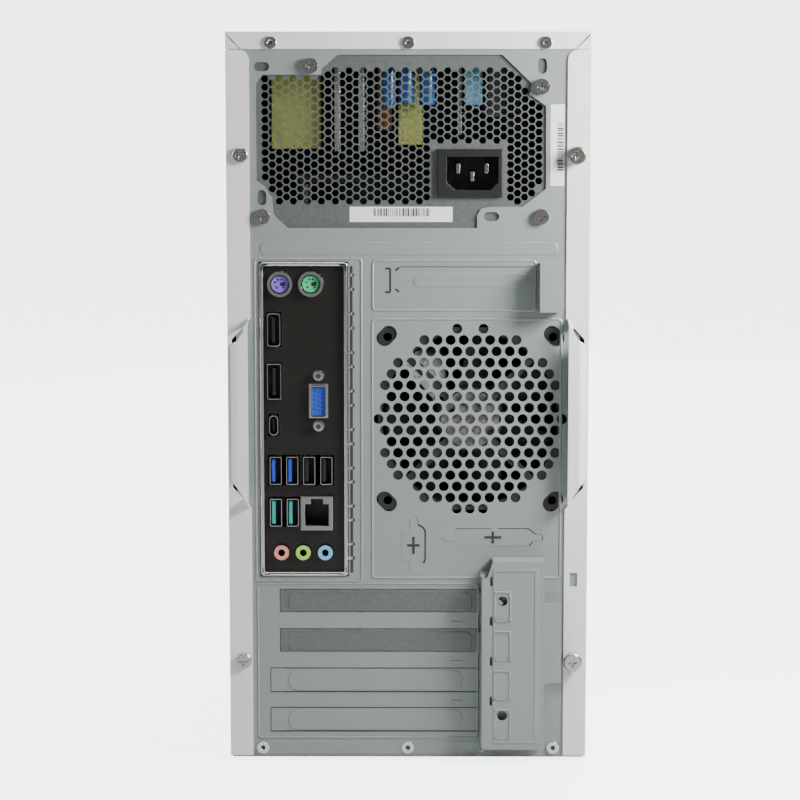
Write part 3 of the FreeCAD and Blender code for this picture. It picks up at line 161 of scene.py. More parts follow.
def add_camera():
    """Camera on the connector side with a long lens."""
    data = bpy.data.cameras.new("view")
    data.lens = LENS
    data.sensor_width = SENSOR
    camera = bpy.data.objects.new("view", data)
    camera.location = CAMERA_PLACE
    camera.rotation_euler = (math.pi / 2 - TIP_DOWN, 0, math.pi + SWING)
    bpy.context.scene.collection.objects.link(camera)
    bpy.context.scene.camera = camera
    return camera


view = add_camera()
print("camera at", [round(value, 3) for value in view.location])


# %% Floor and studio light
AIR = 0.13           # strength of the air as a light
BACKDROP = 4.4       # strength of air and floor as the camera sees them
FLOOR_SIZE = 80
PAPER_WHITE, PAPER_GLOW = (0.6, 0.61, 0.63, 1), (0.97, 0.98, 1.0, 1)
AIR_COLOUR = (0.95, 0.97, 1.0, 1)
MIDDLE, REAR_MIDDLE = (0, 0.15, 0.2), (0, 0.187, 0.2)
WHITE_LIGHT = (1.0, 1.0, 1.0)
# name, place, target, size in metres, watts, colour
LAMPS = [
    ("key_light", (-0.33, 0.36, 0.41), REAR_MIDDLE, 0.16, 5.0, (1.0, 0.985, 0.96)),
    ("fill_light", (0.9, 1.5, 0.9), MIDDLE, 1.2, 3, (0.9, 0.95, 1.0)),
    ("top_light", (0.1, 0.1, 1.9), MIDDLE, 1.2, 20, WHITE_LIGHT),
    ("side_light", (1.7, -0.5, 0.9), MIDDLE, 1.2, 26, WHITE_LIGHT),
    ("front_light", (-0.4, -1.6, 0.9), MIDDLE, 1.2, 24, WHITE_LIGHT),
]


def seen_strength(tree, unseen, seen):
    """Strength that rises from one value to another on what the camera sees directly."""
    path = tree.nodes.new("ShaderNodeLightPath")
    rise = tree.nodes.new("ShaderNodeMath")
    rise.operation = "MULTIPLY_ADD"
    tree.links.new(path.outputs["Is Camera Ray"], rise.inputs[0])
    rise.inputs[1].default_value = seen - unseen
    rise.inputs[2].default_value = unseen
    return rise.outputs[0]


def paper_material():
    """White paper that looks brightly lit without lighting the tower from below."""
    material = bpy.data.materials.new("studio_paper")
    material.use_nodes = True
    tree = material.node_tree
    shader = tree.nodes["Principled BSDF"]
    shader.inputs["Base Color"].default_value = PAPER_WHITE
    shader.inputs["Roughness"].default_value = 0.7
    shader.inputs["Emission Color"].default_value = PAPER_GLOW
    tree.links.new(seen_strength(tree, 0.0, BACKDROP - AIR), shader.inputs["Emission Strength"])
    return material


def add_floor():
    """Pale floor that runs out of sight."""
    clear_selection()
    bpy.ops.mesh.primitive_plane_add(size=FLOOR_SIZE, location=(0, 0, 0))
    floor = bpy.context.object
    floor.name = "studio_floor"
    floor.data.materials.append(paper_material())
    return floor


def add_air():
    """World that lights softly and looks white to the camera."""
    world = bpy.data.worlds.new("studio_air")
    bpy.context.scene.world = world
    world.use_nodes = True
    air = world.node_tree.nodes["Background"]
    air.inputs["Color"].default_value = AIR_COLOUR
    world.node_tree.links.new(seen_strength(world.node_tree, AIR, BACKDROP), air.inputs["Strength"])


def add_area(name, place, target, size, power, colour):
    """Square area light aimed at a point."""
    data = bpy.data.lights.new(name, "AREA")
    data.energy = power
    data.size = size
    data.color = colour
    lamp = bpy.data.objects.new(name, data)
    lamp.location = place
    aim = Vector(target) - Vector(place)
    lamp.rotation_euler = aim.to_track_quat("-Z", "Y").to_euler()
    bpy.context.scene.collection.objects.link(lamp)
    return lamp


add_floor()
add_air()
for lamp in LAMPS:
    add_area(*lamp)

# %% [markdown]
# ## Shared surface effects
# Steel, paint and plastic all need small changes over their surface. Two node groups hold them.
# "fine_grain" gives a speckle height and slow patches. "rolled_lines" gives the faint lines of
# rolled sheet.

# %% Node groups
def new_group(name, inputs, outputs):
    """Shader node group with named sockets: (name, type, default)."""
    group = bpy.data.node_groups.new(name, "ShaderNodeTree")
    for label, kind, default in inputs:
        socket = group.interface.new_socket(label, in_out="INPUT", socket_type=kind)
        if default is not None:
            socket.default_value = default
    for label, kind in outputs:
        group.interface.new_socket(label, in_out="OUTPUT", socket_type=kind)
    start = group.nodes.new("NodeGroupInput")
    end = group.nodes.new("NodeGroupOutput")
    return group, start, end


NUMBER = "NodeSocketFloat"
FINE, SLOW = 1400, 14         # noise scales of the speckle and of the patches
LINE_STRETCH = (2.0, 2.0, 260.0)


def noise_node(tree, scale, detail=3.0, rough=0.55):
    """Noise texture with a fixed scale."""
    noise = tree.nodes.new("ShaderNodeTexNoise")
    noise.inputs["Scale"].default_value = scale
    noise.inputs["Detail"].default_value = detail
    noise.inputs["Roughness"].default_value = rough
    return noise


def maths(tree, operation, first=None, second=None, clamp=False):
    """Math node whose inputs may be numbers or sockets."""
    item = tree.nodes.new("ShaderNodeMath")
    item.operation = operation
    item.use_clamp = clamp
    for index, value in enumerate((first, second)):
        if value is None:
            continue
        if isinstance(value, (int, float)):
            item.inputs[index].default_value = value
        else:
            tree.links.new(value, item.inputs[index])
    return item.outputs[0]


def build_grain():
    """Speckle and slow patches on Object coordinates."""
    group, start, end = new_group(
        "fine_grain",
        [("Scale", NUMBER, 1.0), ("Patchiness", NUMBER, 0.5)],
        [("Height", NUMBER), ("Patch", NUMBER)])
    place = group.nodes.new("ShaderNodeTexCoord")
    fine = noise_node(group, FINE, 2.0)
    slow = noise_node(group, SLOW, 4.0)
    scale = maths(group, "MULTIPLY", start.outputs["Scale"], FINE)
    group.links.new(place.outputs["Object"], fine.inputs["Vector"])
    group.links.new(place.outputs["Object"], slow.inputs["Vector"])
    group.links.new(scale, fine.inputs["Scale"])
    patch = maths(group, "MULTIPLY", maths(group, "SUBTRACT", slow.outputs["Fac"], 0.5),
                  start.outputs["Patchiness"])
    group.links.new(fine.outputs["Fac"], end.inputs["Height"])
    group.links.new(patch, end.inputs["Patch"])
    return group


def build_rolled():
    """Long faint lines along X, as rolled sheet shows."""
    group, start, end = new_group("rolled_lines", [("Strength", NUMBER, 1.0)], [("Line", NUMBER)])
    place = group.nodes.new("ShaderNodeTexCoord")
    stretch = group.nodes.new("ShaderNodeMapping")
    stretch.inputs["Scale"].default_value = LINE_STRETCH
    lines = noise_node(group, 1.0, 3.0, 0.6)
    group.links.new(place.outputs["Object"], stretch.inputs["Vector"])
    group.links.new(stretch.outputs["Vector"], lines.inputs["Vector"])
    middle = maths(group, "SUBTRACT", lines.outputs["Fac"], 0.5)
    group.links.new(maths(group, "MULTIPLY", middle, start.outputs["Strength"]), end.inputs["Line"])
    return group


GRAIN = build_grain()
ROLLED = build_rolled()
print("node groups:", [group.name for group in bpy.data.node_groups])

# %% [markdown]
# ## Finishes
# One function mixes the groups into a Principled shader: the base colour drifts a little in
# patches, and a fine speckle feeds roughness and bump.

# %% Material builder
RELIEF = 0.0004


def finish(name, colour, roughness, metallic=0.0, grain=1.0, patch=0.12, bump=0.05,
           rolled=0.0, speckle=0.0, coat=0.0, rough_spread=0.1):
    """Procedural finish; constants sit on the shader's own sockets."""
    material = bpy.data.materials.new(name)
    material.use_nodes = True
    tree = material.node_tree
    shader = tree.nodes["Principled BSDF"]
    shader.inputs["Metallic"].default_value = metallic
    shader.inputs["Coat Weight"].default_value = coat
    surface = tree.nodes.new("ShaderNodeGroup")
    surface.node_tree = GRAIN
    surface.inputs["Scale"].default_value = grain
    surface.inputs["Patchiness"].default_value = patch
    tone = maths(tree, "ADD", surface.outputs["Patch"], 1.0)
    if rolled:
        lines = tree.nodes.new("ShaderNodeGroup")
        lines.node_tree = ROLLED
        lines.inputs["Strength"].default_value = rolled
        tone = maths(tree, "ADD", tone, lines.outputs["Line"])
    if speckle:
        spots = maths(tree, "MULTIPLY", maths(tree, "SUBTRACT", surface.outputs["Height"], 0.5), speckle)
        tone = maths(tree, "ADD", tone, spots)
    tint = tree.nodes.new("ShaderNodeMix")
    tint.data_type = "RGBA"
    tint.blend_type = "MULTIPLY"
    tint.inputs["Factor"].default_value = 1.0
    tint.inputs["A"].default_value = (*colour, 1)
    tree.links.new(tone, tint.inputs["B"])
    tree.links.new(tint.outputs["Result"], shader.inputs["Base Color"])
    spread = maths(tree, "MULTIPLY", maths(tree, "SUBTRACT", surface.outputs["Height"], 0.5),
                   rough_spread)
    tree.links.new(maths(tree, "ADD", spread, roughness, clamp=True), shader.inputs["Roughness"])
    relief = tree.nodes.new("ShaderNodeBump")
    relief.inputs["Strength"].default_value = bump
    relief.inputs["Distance"].default_value = RELIEF
    tree.links.new(surface.outputs["Height"], relief.inputs["Height"])
    tree.links.new(relief.outputs["Normal"], shader.inputs["Normal"])
    return material


# %% The finishes of this tower
PAINT = finish("white_panel_paint", (0.80, 0.80, 0.77), 0.42, grain=0.6, patch=0.03, bump=0.12)
FRAME = finish("grey_green_steel", (0.265, 0.305, 0.285), 0.44, metallic=0.15, grain=0.5, patch=0.05,
               bump=0.05, rolled=0.07)
ZINC = finish("galvanised_steel", (0.145, 0.16, 0.155), 0.40, metallic=0.4, grain=0.35, patch=0.18,
              bump=0.06, speckle=0.5)
BRIGHT = finish("bright_tin", (0.72, 0.71, 0.68), 0.22, metallic=1.0, grain=0.4, patch=0.1, bump=0.02)
SHIELD = finish("brushed_shield", (0.028, 0.027, 0.024), 0.34, metallic=0.6, grain=0.3, patch=0.4,
                bump=0.03, rolled=0.3)
NICKEL = finish("nickel_screw", (0.50, 0.49, 0.46), 0.28, metallic=1.0, grain=0.5, patch=0.15,
                bump=0.04)
ALUMINIUM = finish("cast_aluminium", (0.62, 0.63, 0.63), 0.36, metallic=0.9, grain=0.4, patch=0.1,
                   bump=0.05, rolled=0.1)
BRASS = finish("turned_brass", (0.70, 0.52, 0.24), 0.3, metallic=1.0, grain=0.5, bump=0.03)
BLACK = finish("black_moulding", (0.012, 0.012, 0.014), 0.42, grain=0.8, patch=0.2, bump=0.12)
FAN_BLACK = finish("fan_black", (0.02, 0.02, 0.022), 0.38, grain=0.6, patch=0.2, bump=0.08)
WHITE = finish("white_moulding", (0.80, 0.79, 0.75), 0.38, grain=0.7, patch=0.03, bump=0.14)
GREY = finish("grey_moulding", (0.17, 0.17, 0.17), 0.45, grain=0.8, patch=0.1, bump=0.1)
RUBBER = finish("foot_rubber", (0.02, 0.02, 0.02), 0.75, grain=0.5, patch=0.2, bump=0.3)
BOARD = finish("board_green", (0.012, 0.075, 0.035), 0.36, grain=0.3, patch=0.4, bump=0.15,
               rolled=0.2)
TAPE = finish("yellow_tape", (0.50, 0.53, 0.10), 0.38, grain=0.4, patch=0.25, bump=0.1, coat=0.3)
COPPER = finish("copper_winding", (0.62, 0.28, 0.09), 0.3, metallic=0.8, grain=0.4, rolled=0.6)
CAN_BLUE = finish("capacitor_blue", (0.02, 0.12, 0.36), 0.3, grain=0.5, patch=0.15, coat=0.4)
CAN_DARK = finish("capacitor_dark", (0.02, 0.025, 0.03), 0.3, grain=0.5, patch=0.15, coat=0.3)
LIGHT = finish("green_light_pipe", (0.35, 0.62, 0.38), 0.2, grain=0.5, patch=0.1, coat=0.5)
SLEEVE = finish("lead_sleeve", (0.03, 0.03, 0.035), 0.5, grain=0.4, patch=0.4, bump=0.3)
PURPLE = finish("purple_insert", (0.19, 0.13, 0.55), 0.4, grain=0.6, patch=0.08)
MINT = finish("green_insert", (0.06, 0.48, 0.20), 0.4, grain=0.6, patch=0.08)
BLUE = finish("blue_tongue", (0.02, 0.07, 0.50), 0.35, grain=0.6, patch=0.08)
TEAL = finish("teal_tongue", (0.03, 0.35, 0.33), 0.35, grain=0.6, patch=0.08)
PINK = finish("pink_ring", (0.80, 0.28, 0.22), 0.35, grain=0.6, patch=0.08)
LIME = finish("lime_ring", (0.38, 0.70, 0.07), 0.35, grain=0.6, patch=0.08)
SKY = finish("sky_ring", (0.16, 0.50, 0.72), 0.35, grain=0.6, patch=0.08)
PAPER = finish("label_paper", (0.84, 0.84, 0.82), 0.5, grain=0.5, patch=0.03, bump=0.05)
HUB_FOIL = finish("hub_foil", (0.16, 0.155, 0.15), 0.3, metallic=0.7, grain=0.13, patch=0.6, speckle=4.0,
                  bump=0.02)
# print ink on the labels, also painted shade in the punched gaps, the shield's finger gaps, the socket
# holes and the rivet middles
INK_AND_SHADE = finish("ink_and_painted_shade", (0.03, 0.03, 0.035), 0.5, grain=0.5, patch=0.1)
print("finishes:", len(bpy.data.materials))

# %% [markdown]
# ## Rounding the drawn pieces
# The frame's meshes are loose triangles with knife-sharp edges, and real folds and mouldings are
# never that sharp. A copy of each is merged, its flat areas are dissolved to whole faces, and a
# small bevel catches the light along every edge. The copy then stands for the drawn piece.


def softened(node, finish_material, width=0.3, segments=2, dissolve=True, body="chassis"):
    """Merged, bevelled copy of a frame node, in a finish, which replaces it; width in mm."""
    source = SHOWN[node]
    copy = source.copy()
    copy.data = source.data.copy()
    copy.parent = None
    copy.matrix_world = Matrix.Identity(4)
    for key in list(copy.keys()):
        del copy[key]
    bpy.context.scene.collection.objects.link(copy)
    only(copy)
    bpy.ops.object.mode_set(mode="EDIT")
    bpy.ops.mesh.select_all(action="SELECT")
    bpy.ops.mesh.remove_doubles(threshold=0.00001)
    if dissolve:
        bpy.ops.mesh.dissolve_limited(angle_limit=math.radians(2))
    leave()
    if width:
        bevelled(copy, width * MM, segments)
    settle(copy, node + "_finished")
    dress(copy, finish_material, body)
    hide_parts(node)
    return copy


def coated(node, finish_material):
    """Keep a drawn piece as it is and give it a finish."""
    piece = SHOWN[node]
    if not piece.data.materials:
        piece.data.materials.append(finish_material)
    for slot in piece.material_slots:
        slot.material = finish_material


def paint_faces(piece, finish_material, test):
    """Second finish on the faces whose centre passes the test."""
    piece.data.materials.append(finish_material)
    index = len(piece.data.materials) - 1
    for face in piece.data.polygons:
        if test(face.center * 1000):
            face.material_index = index


SOFT = {
    "chassis_floor": (FRAME, 0.25), "motherboard_tray": (FRAME, 0.2), "chassis_front": (FRAME, 0.2),
    "drive_bay_cage": (ZINC, 0.2), "motherboard": (BOARD, 0.15), "processor": (BRIGHT, 0.3),
    "memory_sockets": (BLACK, 0.2), "memory_modules": (BOARD, 0.1), "expansion_sockets": (BLACK, 0.2),
    "board_connectors": (BLACK, 0.2), "psu_case": (ZINC, 0.3), "processor_heatsink": (ALUMINIUM, 0.2),
    "chipset_heatsink": (ALUMINIUM, 0.2), "psu_circuit_board": (BOARD, 0.1),
    "psu_heatsinks": (ALUMINIUM, 0.3), "optical_drive_case": (ZINC, 0.3), "hard_drive": (ALUMINIUM, 0.6),
    "hard_drive_cage": (ZINC, 0.25), "feet": (RUBBER, 0.5), "power_inlet": (BLACK, 0.4),
    "inlet_pins": (NICKEL, 0.4), "slot_screws": (NICKEL, 0.3), "board_standoffs": (BRASS, 0.2),
    "bay_cover": (WHITE, 0.5), "front_ports": (BLACK, 0.3), "status_lights": (LIGHT, 0.4),
    "front_bezel": (WHITE, 0.5), "top_cover": (PAINT, 0.35), "panel_rivets": (BRIGHT, 0.3),
    "psu_screws": (NICKEL, 0.45), "psu_transformers": (TAPE, 0.6), "board_capacitors": (CAN_DARK, 0.4),
    "psu_capacitors": (CAN_BLUE, 0.4),
}
for node, (material, width) in SOFT.items():
    softened(node, material, width)
# thin or open-work pieces, whose own meshes stay
COATED = {
    "psu_rear_plate": ZINC, "psu_fan_guard": BRIGHT, "main_power_cable": SLEEVE,
    "disk_data_cable": SLEEVE, "case_fan_frame": FAN_BLACK, "processor_fan_frame": FAN_BLACK,
    "psu_fan_frame": FAN_BLACK, "rear_panel": FRAME,
}
for node, material in COATED.items():
    coated(node, material)
paint_faces(bpy.data.objects["psu_transformers_finished"], COPPER, lambda at: 7 < at.x < 17)
cans = bpy.data.objects["psu_capacitors_finished"]
paint_faces(cans, SKY, lambda at: -38 < at.x < -28)
paint_faces(cans, GREY, lambda at: at.x < -38)
paint_faces(cans, CAN_DARK, lambda at: at.x > 40)
# finish, bevel width in mm, body
MOVING = {
    "left_side_panel": (PAINT, 0.35, "left_panel"), "right_side_panel": (PAINT, 0.35, "right_panel"),
    "left_panel_screws": (NICKEL, 0.5, "left_panel"), "right_panel_screws": (NICKEL, 0.5, "right_panel"),
    "case_fan_rotor": (FAN_BLACK, 0.3, "case_rotor"),
    "processor_fan_rotor": (FAN_BLACK, 0.3, "processor_rotor"),
    "psu_fan_rotor": (FAN_BLACK, 0.3, "supply_rotor"), "disc_tray": (WHITE, 0.4, "tray"),
    "power_button": (WHITE, 0.5, "power_key"), "eject_button": (WHITE, 0.4, "eject_key"),
}
for node, (material, width, body) in MOVING.items():
    softened(node, material, width, body=body)
print("softened", len(SOFT) + len(MOVING), "pieces, coated", len(COATED))

# %% [markdown]
# ## Pressings in the rear panel
# The panel is stiffened by shallow pressings: bands, ovals and frames about half a millimetre high,
# each with a sloped shoulder. A plane is laid on the panel, its corners are rounded with a vertex
# bevel, and an inset lifted off the panel makes the shoulder. A frame is the same with its middle
# taken out first.

# %% Pressing tool
REAR = 0.187
SINK = 0.00003           # how far a pressing's edge lies inside its plane
FULLY_ROUND = 0.995      # widest corner, as a share of half the short side


def pressing(low, high, corner=2.0, height=0.45, slope=0.7, ring=0.0, plane=REAR, sides=5):
    """Raised area between two corners (X, Z in mm) on a plane facing the connector side."""
    clear_selection()
    width, tall = (high[0] - low[0]) * MM, (high[1] - low[1]) * MM
    centre = ((low[0] + high[0]) / 2 * MM, plane - SINK, (low[1] + high[1]) / 2 * MM)
    bpy.ops.mesh.primitive_plane_add(size=1, location=centre, rotation=TURN_TO["Y"])
    piece = bpy.context.object
    piece.scale = (width, tall, 1)
    bpy.ops.object.transform_apply(location=True, rotation=True, scale=True)
    bpy.ops.object.mode_set(mode="EDIT")
    bpy.ops.mesh.select_all(action="SELECT")
    limit = min(width, tall) / 2 * FULLY_ROUND
    bpy.ops.mesh.bevel(affect="VERTICES", offset=min(corner * MM, limit), segments=sides,
                       offset_type="OFFSET")
    if ring:
        bpy.ops.mesh.select_all(action="SELECT")
        bpy.ops.mesh.inset(thickness=ring * MM, depth=0)
        bpy.ops.mesh.delete(type="FACE")
    bpy.ops.mesh.select_all(action="SELECT")
    bpy.ops.mesh.inset(thickness=slope * MM, depth=0, use_boundary=True)
    bpy.ops.transform.translate(value=(0, height * MM, 0))
    leave()
    return piece


PRESSINGS = [
    # band under the power supply, frame round the spare slot and its long oval
    ((-74.5, 256.9), (73.8, 264.0), 3.4, 0.0),
    ((-64.0, 229.0), (18.4, 255.2), 2.4, 1.5),
    ((-59.6, 240.9), (-2.6, 248.5), 3.7, 0.0),
    # frame round the fan and the two knock-outs
    ((-77.0, 93.8), (18.7, 226.0), 2.4, 1.5),
    # frame round the connector shield
    ((22.6, 92.2), (77.0, 256.0), 2.0, 1.4),
    # frame round the four card slots, and the bars between the slots
    ((-36.0, 11.6), (76.4, 92.2), 2.4, 1.3),
    ((-27.8, 71.1), (-21.5, 72.8), 0.8, 0.0), ((-27.8, 50.6), (-21.5, 52.4), 0.8, 0.0),
    ((-27.8, 30.2), (-21.5, 32.0), 0.8, 0.0),
    # ovals on the two closed slots
    ((-27.9, 36.5), (60.9, 47.6), 5.4, 0.0), ((-28.0, 16.1), (60.8, 27.2), 5.4, 0.0),
    # sill over the lower rivets
    ((-36.0, 3.3), (84.0, 10.6), 1.2, 0.0),
]
parts = [pressing(low, high, corner, ring=ring) for low, high, corner, ring in PRESSINGS]
for level in (42.1, 21.7):
    parts.append(pressing((62.5, level - 6.1), (69.5, level + 6.1), 0.4, height=0.25, slope=0.4))
stampings = settle(join(parts, "rear_panel_pressings"), "rear_panel_pressings", 60)
dress(stampings, FRAME)
print("pressings:", len(parts))

# %% [markdown]
# ## Cuts that stay closed
# Two sockets for old serial and parallel plugs are only half cut: a thin groove follows the outline
# of each plug, with a cross punched in its middle. Narrow dark bars of painted shade, sunk flush with the
# sheet, stand for the punched gaps, because the sheet behind them is never seen.

# %% Punched grooves and crosses
def dark_bar(low, high, depth=0.06):
    """Thin dark bar of painted shade lying in the face of the panel; X and Z in mm."""
    return box_piece("bar", (low[0] * MM, REAR - 0.0002, low[1] * MM),
                     (high[0] * MM, REAR + depth * MM, high[1] * MM))


def groove_path(points, width=0.55):
    """Dark bars of painted shade joined end to end along a run of points."""
    bars = []
    for (x1, z1), (x2, z2) in zip(points, points[1:]):
        run = math.hypot(x2 - x1, z2 - z1)
        bar = box_piece("bar", (-run / 2 * MM, -0.0001, -width / 2 * MM),
                        (run / 2 * MM, 0.00012, width / 2 * MM))
        bar.rotation_euler = (0, -math.atan2(z2 - z1, x2 - x1), 0)
        bar.location = ((x1 + x2) / 2 * MM, REAR, (z1 + z2) / 2 * MM)
        only(bar)
        bpy.ops.object.transform_apply(location=True, rotation=True, scale=True)
        bars.append(bar)
    return bars


bars = []
# right-hand half of the upright plug outline, seen from the connector side
bars += groove_path([(-3.0, 125.6), (-4.6, 124.6), (-4.8, 121.8), (-7.4, 120.6), (-8.6, 118.6),
                     (-8.6, 104.0), (-7.8, 102.0)], 0.8)
bars += groove_path([(-2.6, 97.2), (-4.2, 98.6), (-4.4, 101.0)], 0.8)
bars += groove_path([(-24.0, 119.7), (-42.0, 119.7)], 0.35)
bars += groove_path([(-45.0, 119.7), (-60.6, 119.7), (-62.6, 118.2), (-64.0, 116.9), (-66.8, 116.6),
                     (-67.8, 115.2), (-67.2, 113.8)], 0.6)
bars += groove_path([(-62.6, 112.8), (-61.0, 111.0)], 0.6)
for x, z, wide, tall in ((-2.7, 111.2, 6.2, 8.8), (-42.6, 115.3, 8.6, 6.0)):
    bars.append(dark_bar((x - wide / 2, z - 0.65), (x + wide / 2, z + 0.65), 0.30))
    bars.append(dark_bar((x - 0.65, z - tall / 2), (x + 0.65, z + tall / 2), 0.33))
# bracket-shaped cut beside the spare slot, and the long edge of its blank
bars += groove_path([(11.4, 250.6), (8.9, 250.6), (8.9, 238.8), (11.4, 238.8)], 0.9)
bars += groove_path([(6.4, 249.6), (4.4, 251.0)], 0.9)
bars += groove_path([(6.4, 240.4), (4.4, 239.0)], 0.9)
bars += groove_path([(4.0, 251.4), (-62.0, 251.4)], 0.35)
# edges of the two closed card slots
for level in (42.1, 21.7):
    bars += groove_path([(69.4, level + 6.1), (-36.0, level + 6.1)], 0.45)
    bars += groove_path([(69.4, level - 6.1), (-36.0, level - 6.1)], 0.6)
    bars += groove_path([(69.4, level - 6.1), (69.4, level + 6.1)], 0.3)
# the joined bars are painted shade in the grooves and crosses
punched = settle(join(bars, "punched_gaps"), "punched_gaps")
dress(punched, INK_AND_SHADE)

PLATES = [((-8.4, 102.6), (3.4, 120.0), 3.2, 0.2), ((-62.0, 110.6), (-22.6, 119.8), 3.0, 0.2),
          ((-5.0, 97.0), (-0.6, 125.8), 2.1, 0.27), ((-67.6, 113.2), (-17.2, 117.0), 1.8, 0.27)]
outlines = [pressing(low, high, corner, height, 0.35) for low, high, corner, height in PLATES]
knockouts = settle(join(outlines, "knock_out_plates"), "knock_out_plates", 60)
dress(knockouts, FRAME)
print("grooves and crosses:", len(bars))

# %% [markdown]
# ## Slot covers
# The two loose covers are galvanised strips with a long pressed panel and a stepped tongue. The
# strip is drawn already, so it is softened, and a pressed panel is laid on each.

# %% Slot covers and their pressed panels
softened("slot_covers", ZINC, 0.3)
panels = [pressing((-32.4, level - 5.0), (60.3, level + 5.0), 3.4, height=0.5, slope=0.8,
                   plane=REAR + 0.0001) for level in (82.64, 62.32)]
covers = settle(join(panels, "slot_cover_panels"), "slot_cover_panels", 60)
dress(covers, ZINC)
print("slot cover panels:", len(panels))

# %% [markdown]
# ## Card cover
# The cover over the slot screws is pressed from one sheet: a rolled lip, a stepped line that
# follows each screw, and a raised rim round its sunk middle. It swings, so its pressings ride on it.

# %% Card cover
softened("card_cover", FRAME, 0.5, body="card_cover_body")
COVER_FACE = 0.2
# a column stands raised beside the sunk middle, with raised bands on its other three sides
RAISED = [((-43.4, 12.8), (-42.3, 101.2), 0.3, 0.0), ((-65.4, 12.8), (-63.0, 101.2), 0.3, 0.0),
          ((-65.4, 99.8), (-42.3, 101.6), 0.34, 0.0), ((-65.4, 12.4), (-42.3, 14.2), 0.34, 0.0)]
# a raised line runs round each of the four tabs
RAISED += [((-51.6, 14.4 + 20 * step), (-42.6, 30.3 + 20 * step), 0.38, 1.1) for step in range(4)]
creases = [pressing(low, high, 0.8, height, 0.3, ring, COVER_FACE) for low, high, height, ring in RAISED]
ridges = settle(join(creases, "card_cover_ridges"), "card_cover_ridges", 60)
dress(ridges, FRAME, "card_cover_body")
print("card cover ridges:", len(creases))

# %% [markdown]
# ## Connector shield
# The pressed shield is dark brushed steel inside a bright rolled rim. Along its inner side the rim
# is cut into spring fingers: a dark gap, laid as bars of painted shade, broken by small bright tabs,
# seven and twelve millimetres apart in turn.

# %% Shield, rim and spring fingers
softened("io_shield", SHIELD, 0.15)
SHIELD_LOW, SHIELD_HIGH, SHIELD_FACE = (30.2, 95.7), (73.9, 253.6), REAR + 0.0005
rim = pressing(SHIELD_LOW, SHIELD_HIGH, 1.6, height=0.55, slope=0.55, ring=1.75, plane=SHIELD_FACE)
settle(rim, "shield_rim", 60)
dress(rim, BRIGHT)
FINGER_TOP, FINGER_PAIR, FINGER_SPACE = 247.4, 7.1, 12.25
GAP_TOP, GAP_FOOT, LOWEST_TAB = 252.5, 96.5, 97
GAP_NEAR, GAP_FAR, NOTCH_NEAR = 27.6, 29.0, 26.7
tab_heights = []
height = FINGER_TOP
while height > LOWEST_TAB + 1:
    tab_heights += [height, height - FINGER_PAIR]
    height -= FINGER_PAIR + FINGER_SPACE
tab_heights = [place for place in tab_heights if place > LOWEST_TAB]
gaps, tabs = [], []
# the gaps beside the fingers are dark bars of painted shade
for upper, lower in zip([GAP_TOP] + tab_heights, tab_heights + [GAP_FOOT]):
    gaps.append(dark_bar((GAP_NEAR, lower + 0.7), (GAP_FAR, upper - 0.7)))
for place in tab_heights:
    gaps.append(dark_bar((NOTCH_NEAR, place - 0.9), (27.7, place + 0.7)))
    tabs.append(box_piece("tab", (0.0284, REAR - 0.0003, (place - 0.8) * MM),
                          (0.0302, SHIELD_FACE, (place + 0.8) * MM)))
fingers = settle(bevelled(join(tabs, "shield_fingers"), 0.00025, 2), "shield_fingers")
dress(fingers, BRIGHT)
finger_gaps = settle(join(gaps, "shield_finger_gaps"), "shield_finger_gaps")
dress(finger_gaps, INK_AND_SHADE)
print("spring fingers:", len(tab_heights))

# %% [markdown]
# ## Sockets
# Each socket is a thin steel shell with round corners and a moulded tongue or insert in it. The
# shell starts as a plane: its corners are rounded, the middle is taken out and the rim is pulled
# back into the case.

# %% Shell tool
PORT_FACE = 0.1882


def shell(centre, size, corner, depth, wall=0.35):
    """Round-cornered tube open at the rear; centre X, Z, size and depth in mm."""
    clear_selection()
    bpy.ops.mesh.primitive_plane_add(size=1, location=(centre[0] * MM, PORT_FACE, centre[1] * MM),
                                     rotation=TURN_TO["Y"])
    piece = bpy.context.object
    piece.scale = (size[0] * MM, size[1] * MM, 1)
    bpy.ops.object.transform_apply(location=True, rotation=True, scale=True)
    bpy.ops.object.mode_set(mode="EDIT")
    bpy.ops.mesh.select_all(action="SELECT")
    bpy.ops.mesh.bevel(affect="VERTICES", offset=corner * MM, segments=4, offset_type="OFFSET")
    bpy.ops.mesh.select_all(action="SELECT")
    bpy.ops.mesh.inset(thickness=wall * MM, depth=0)
    bpy.ops.mesh.delete(type="FACE")
    bpy.ops.mesh.select_all(action="SELECT")
    bpy.ops.mesh.extrude_region_move(TRANSFORM_OT_translate={"value": (0, -depth * MM, 0)})
    bpy.ops.mesh.select_all(action="SELECT")
    bpy.ops.mesh.normals_make_consistent(inside=False)
    leave()
    return bevelled(piece, 0.1 * MM, 2, 50)


def insert(centre, size, front, depth):
    """Moulded block whose front lies a little inside the shell; sizes in mm."""
    low = ((centre[0] - size[0] / 2) * MM, PORT_FACE - (front + depth) * MM,
           (centre[1] - size[1] / 2) * MM)
    high = ((centre[0] + size[0] / 2) * MM, PORT_FACE - front * MM, (centre[1] + size[1] / 2) * MM)
    return bevelled(box_piece("insert", low, high), 0.15 * MM, 2)


def socket_set(name, pieces, finish_material, slot, *nodes):
    """Join shells or inserts into one finished piece."""
    whole = settle(join(pieces, name), name)
    dress(whole, finish_material)
    if nodes:
        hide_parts(*nodes)
    return whole


# %% Flat sockets
USB_PLACES = [(66.3, 149.2), (58, 149.2), (49.5, 149.2), (40.9, 149.2), (66.3, 128), (57.8, 128)]
OVAL, SMALL_DIGITAL, TALL_DIGITAL = (67.2, 172.1), (66.9, 220), (66.8, 194.1)


def tongues_at(places, front):
    """Tongue of each flat socket, on the side away from its middle."""
    return [insert((x + 1.1, z), (1.8, 11.6), front, 11) for x, z in places]


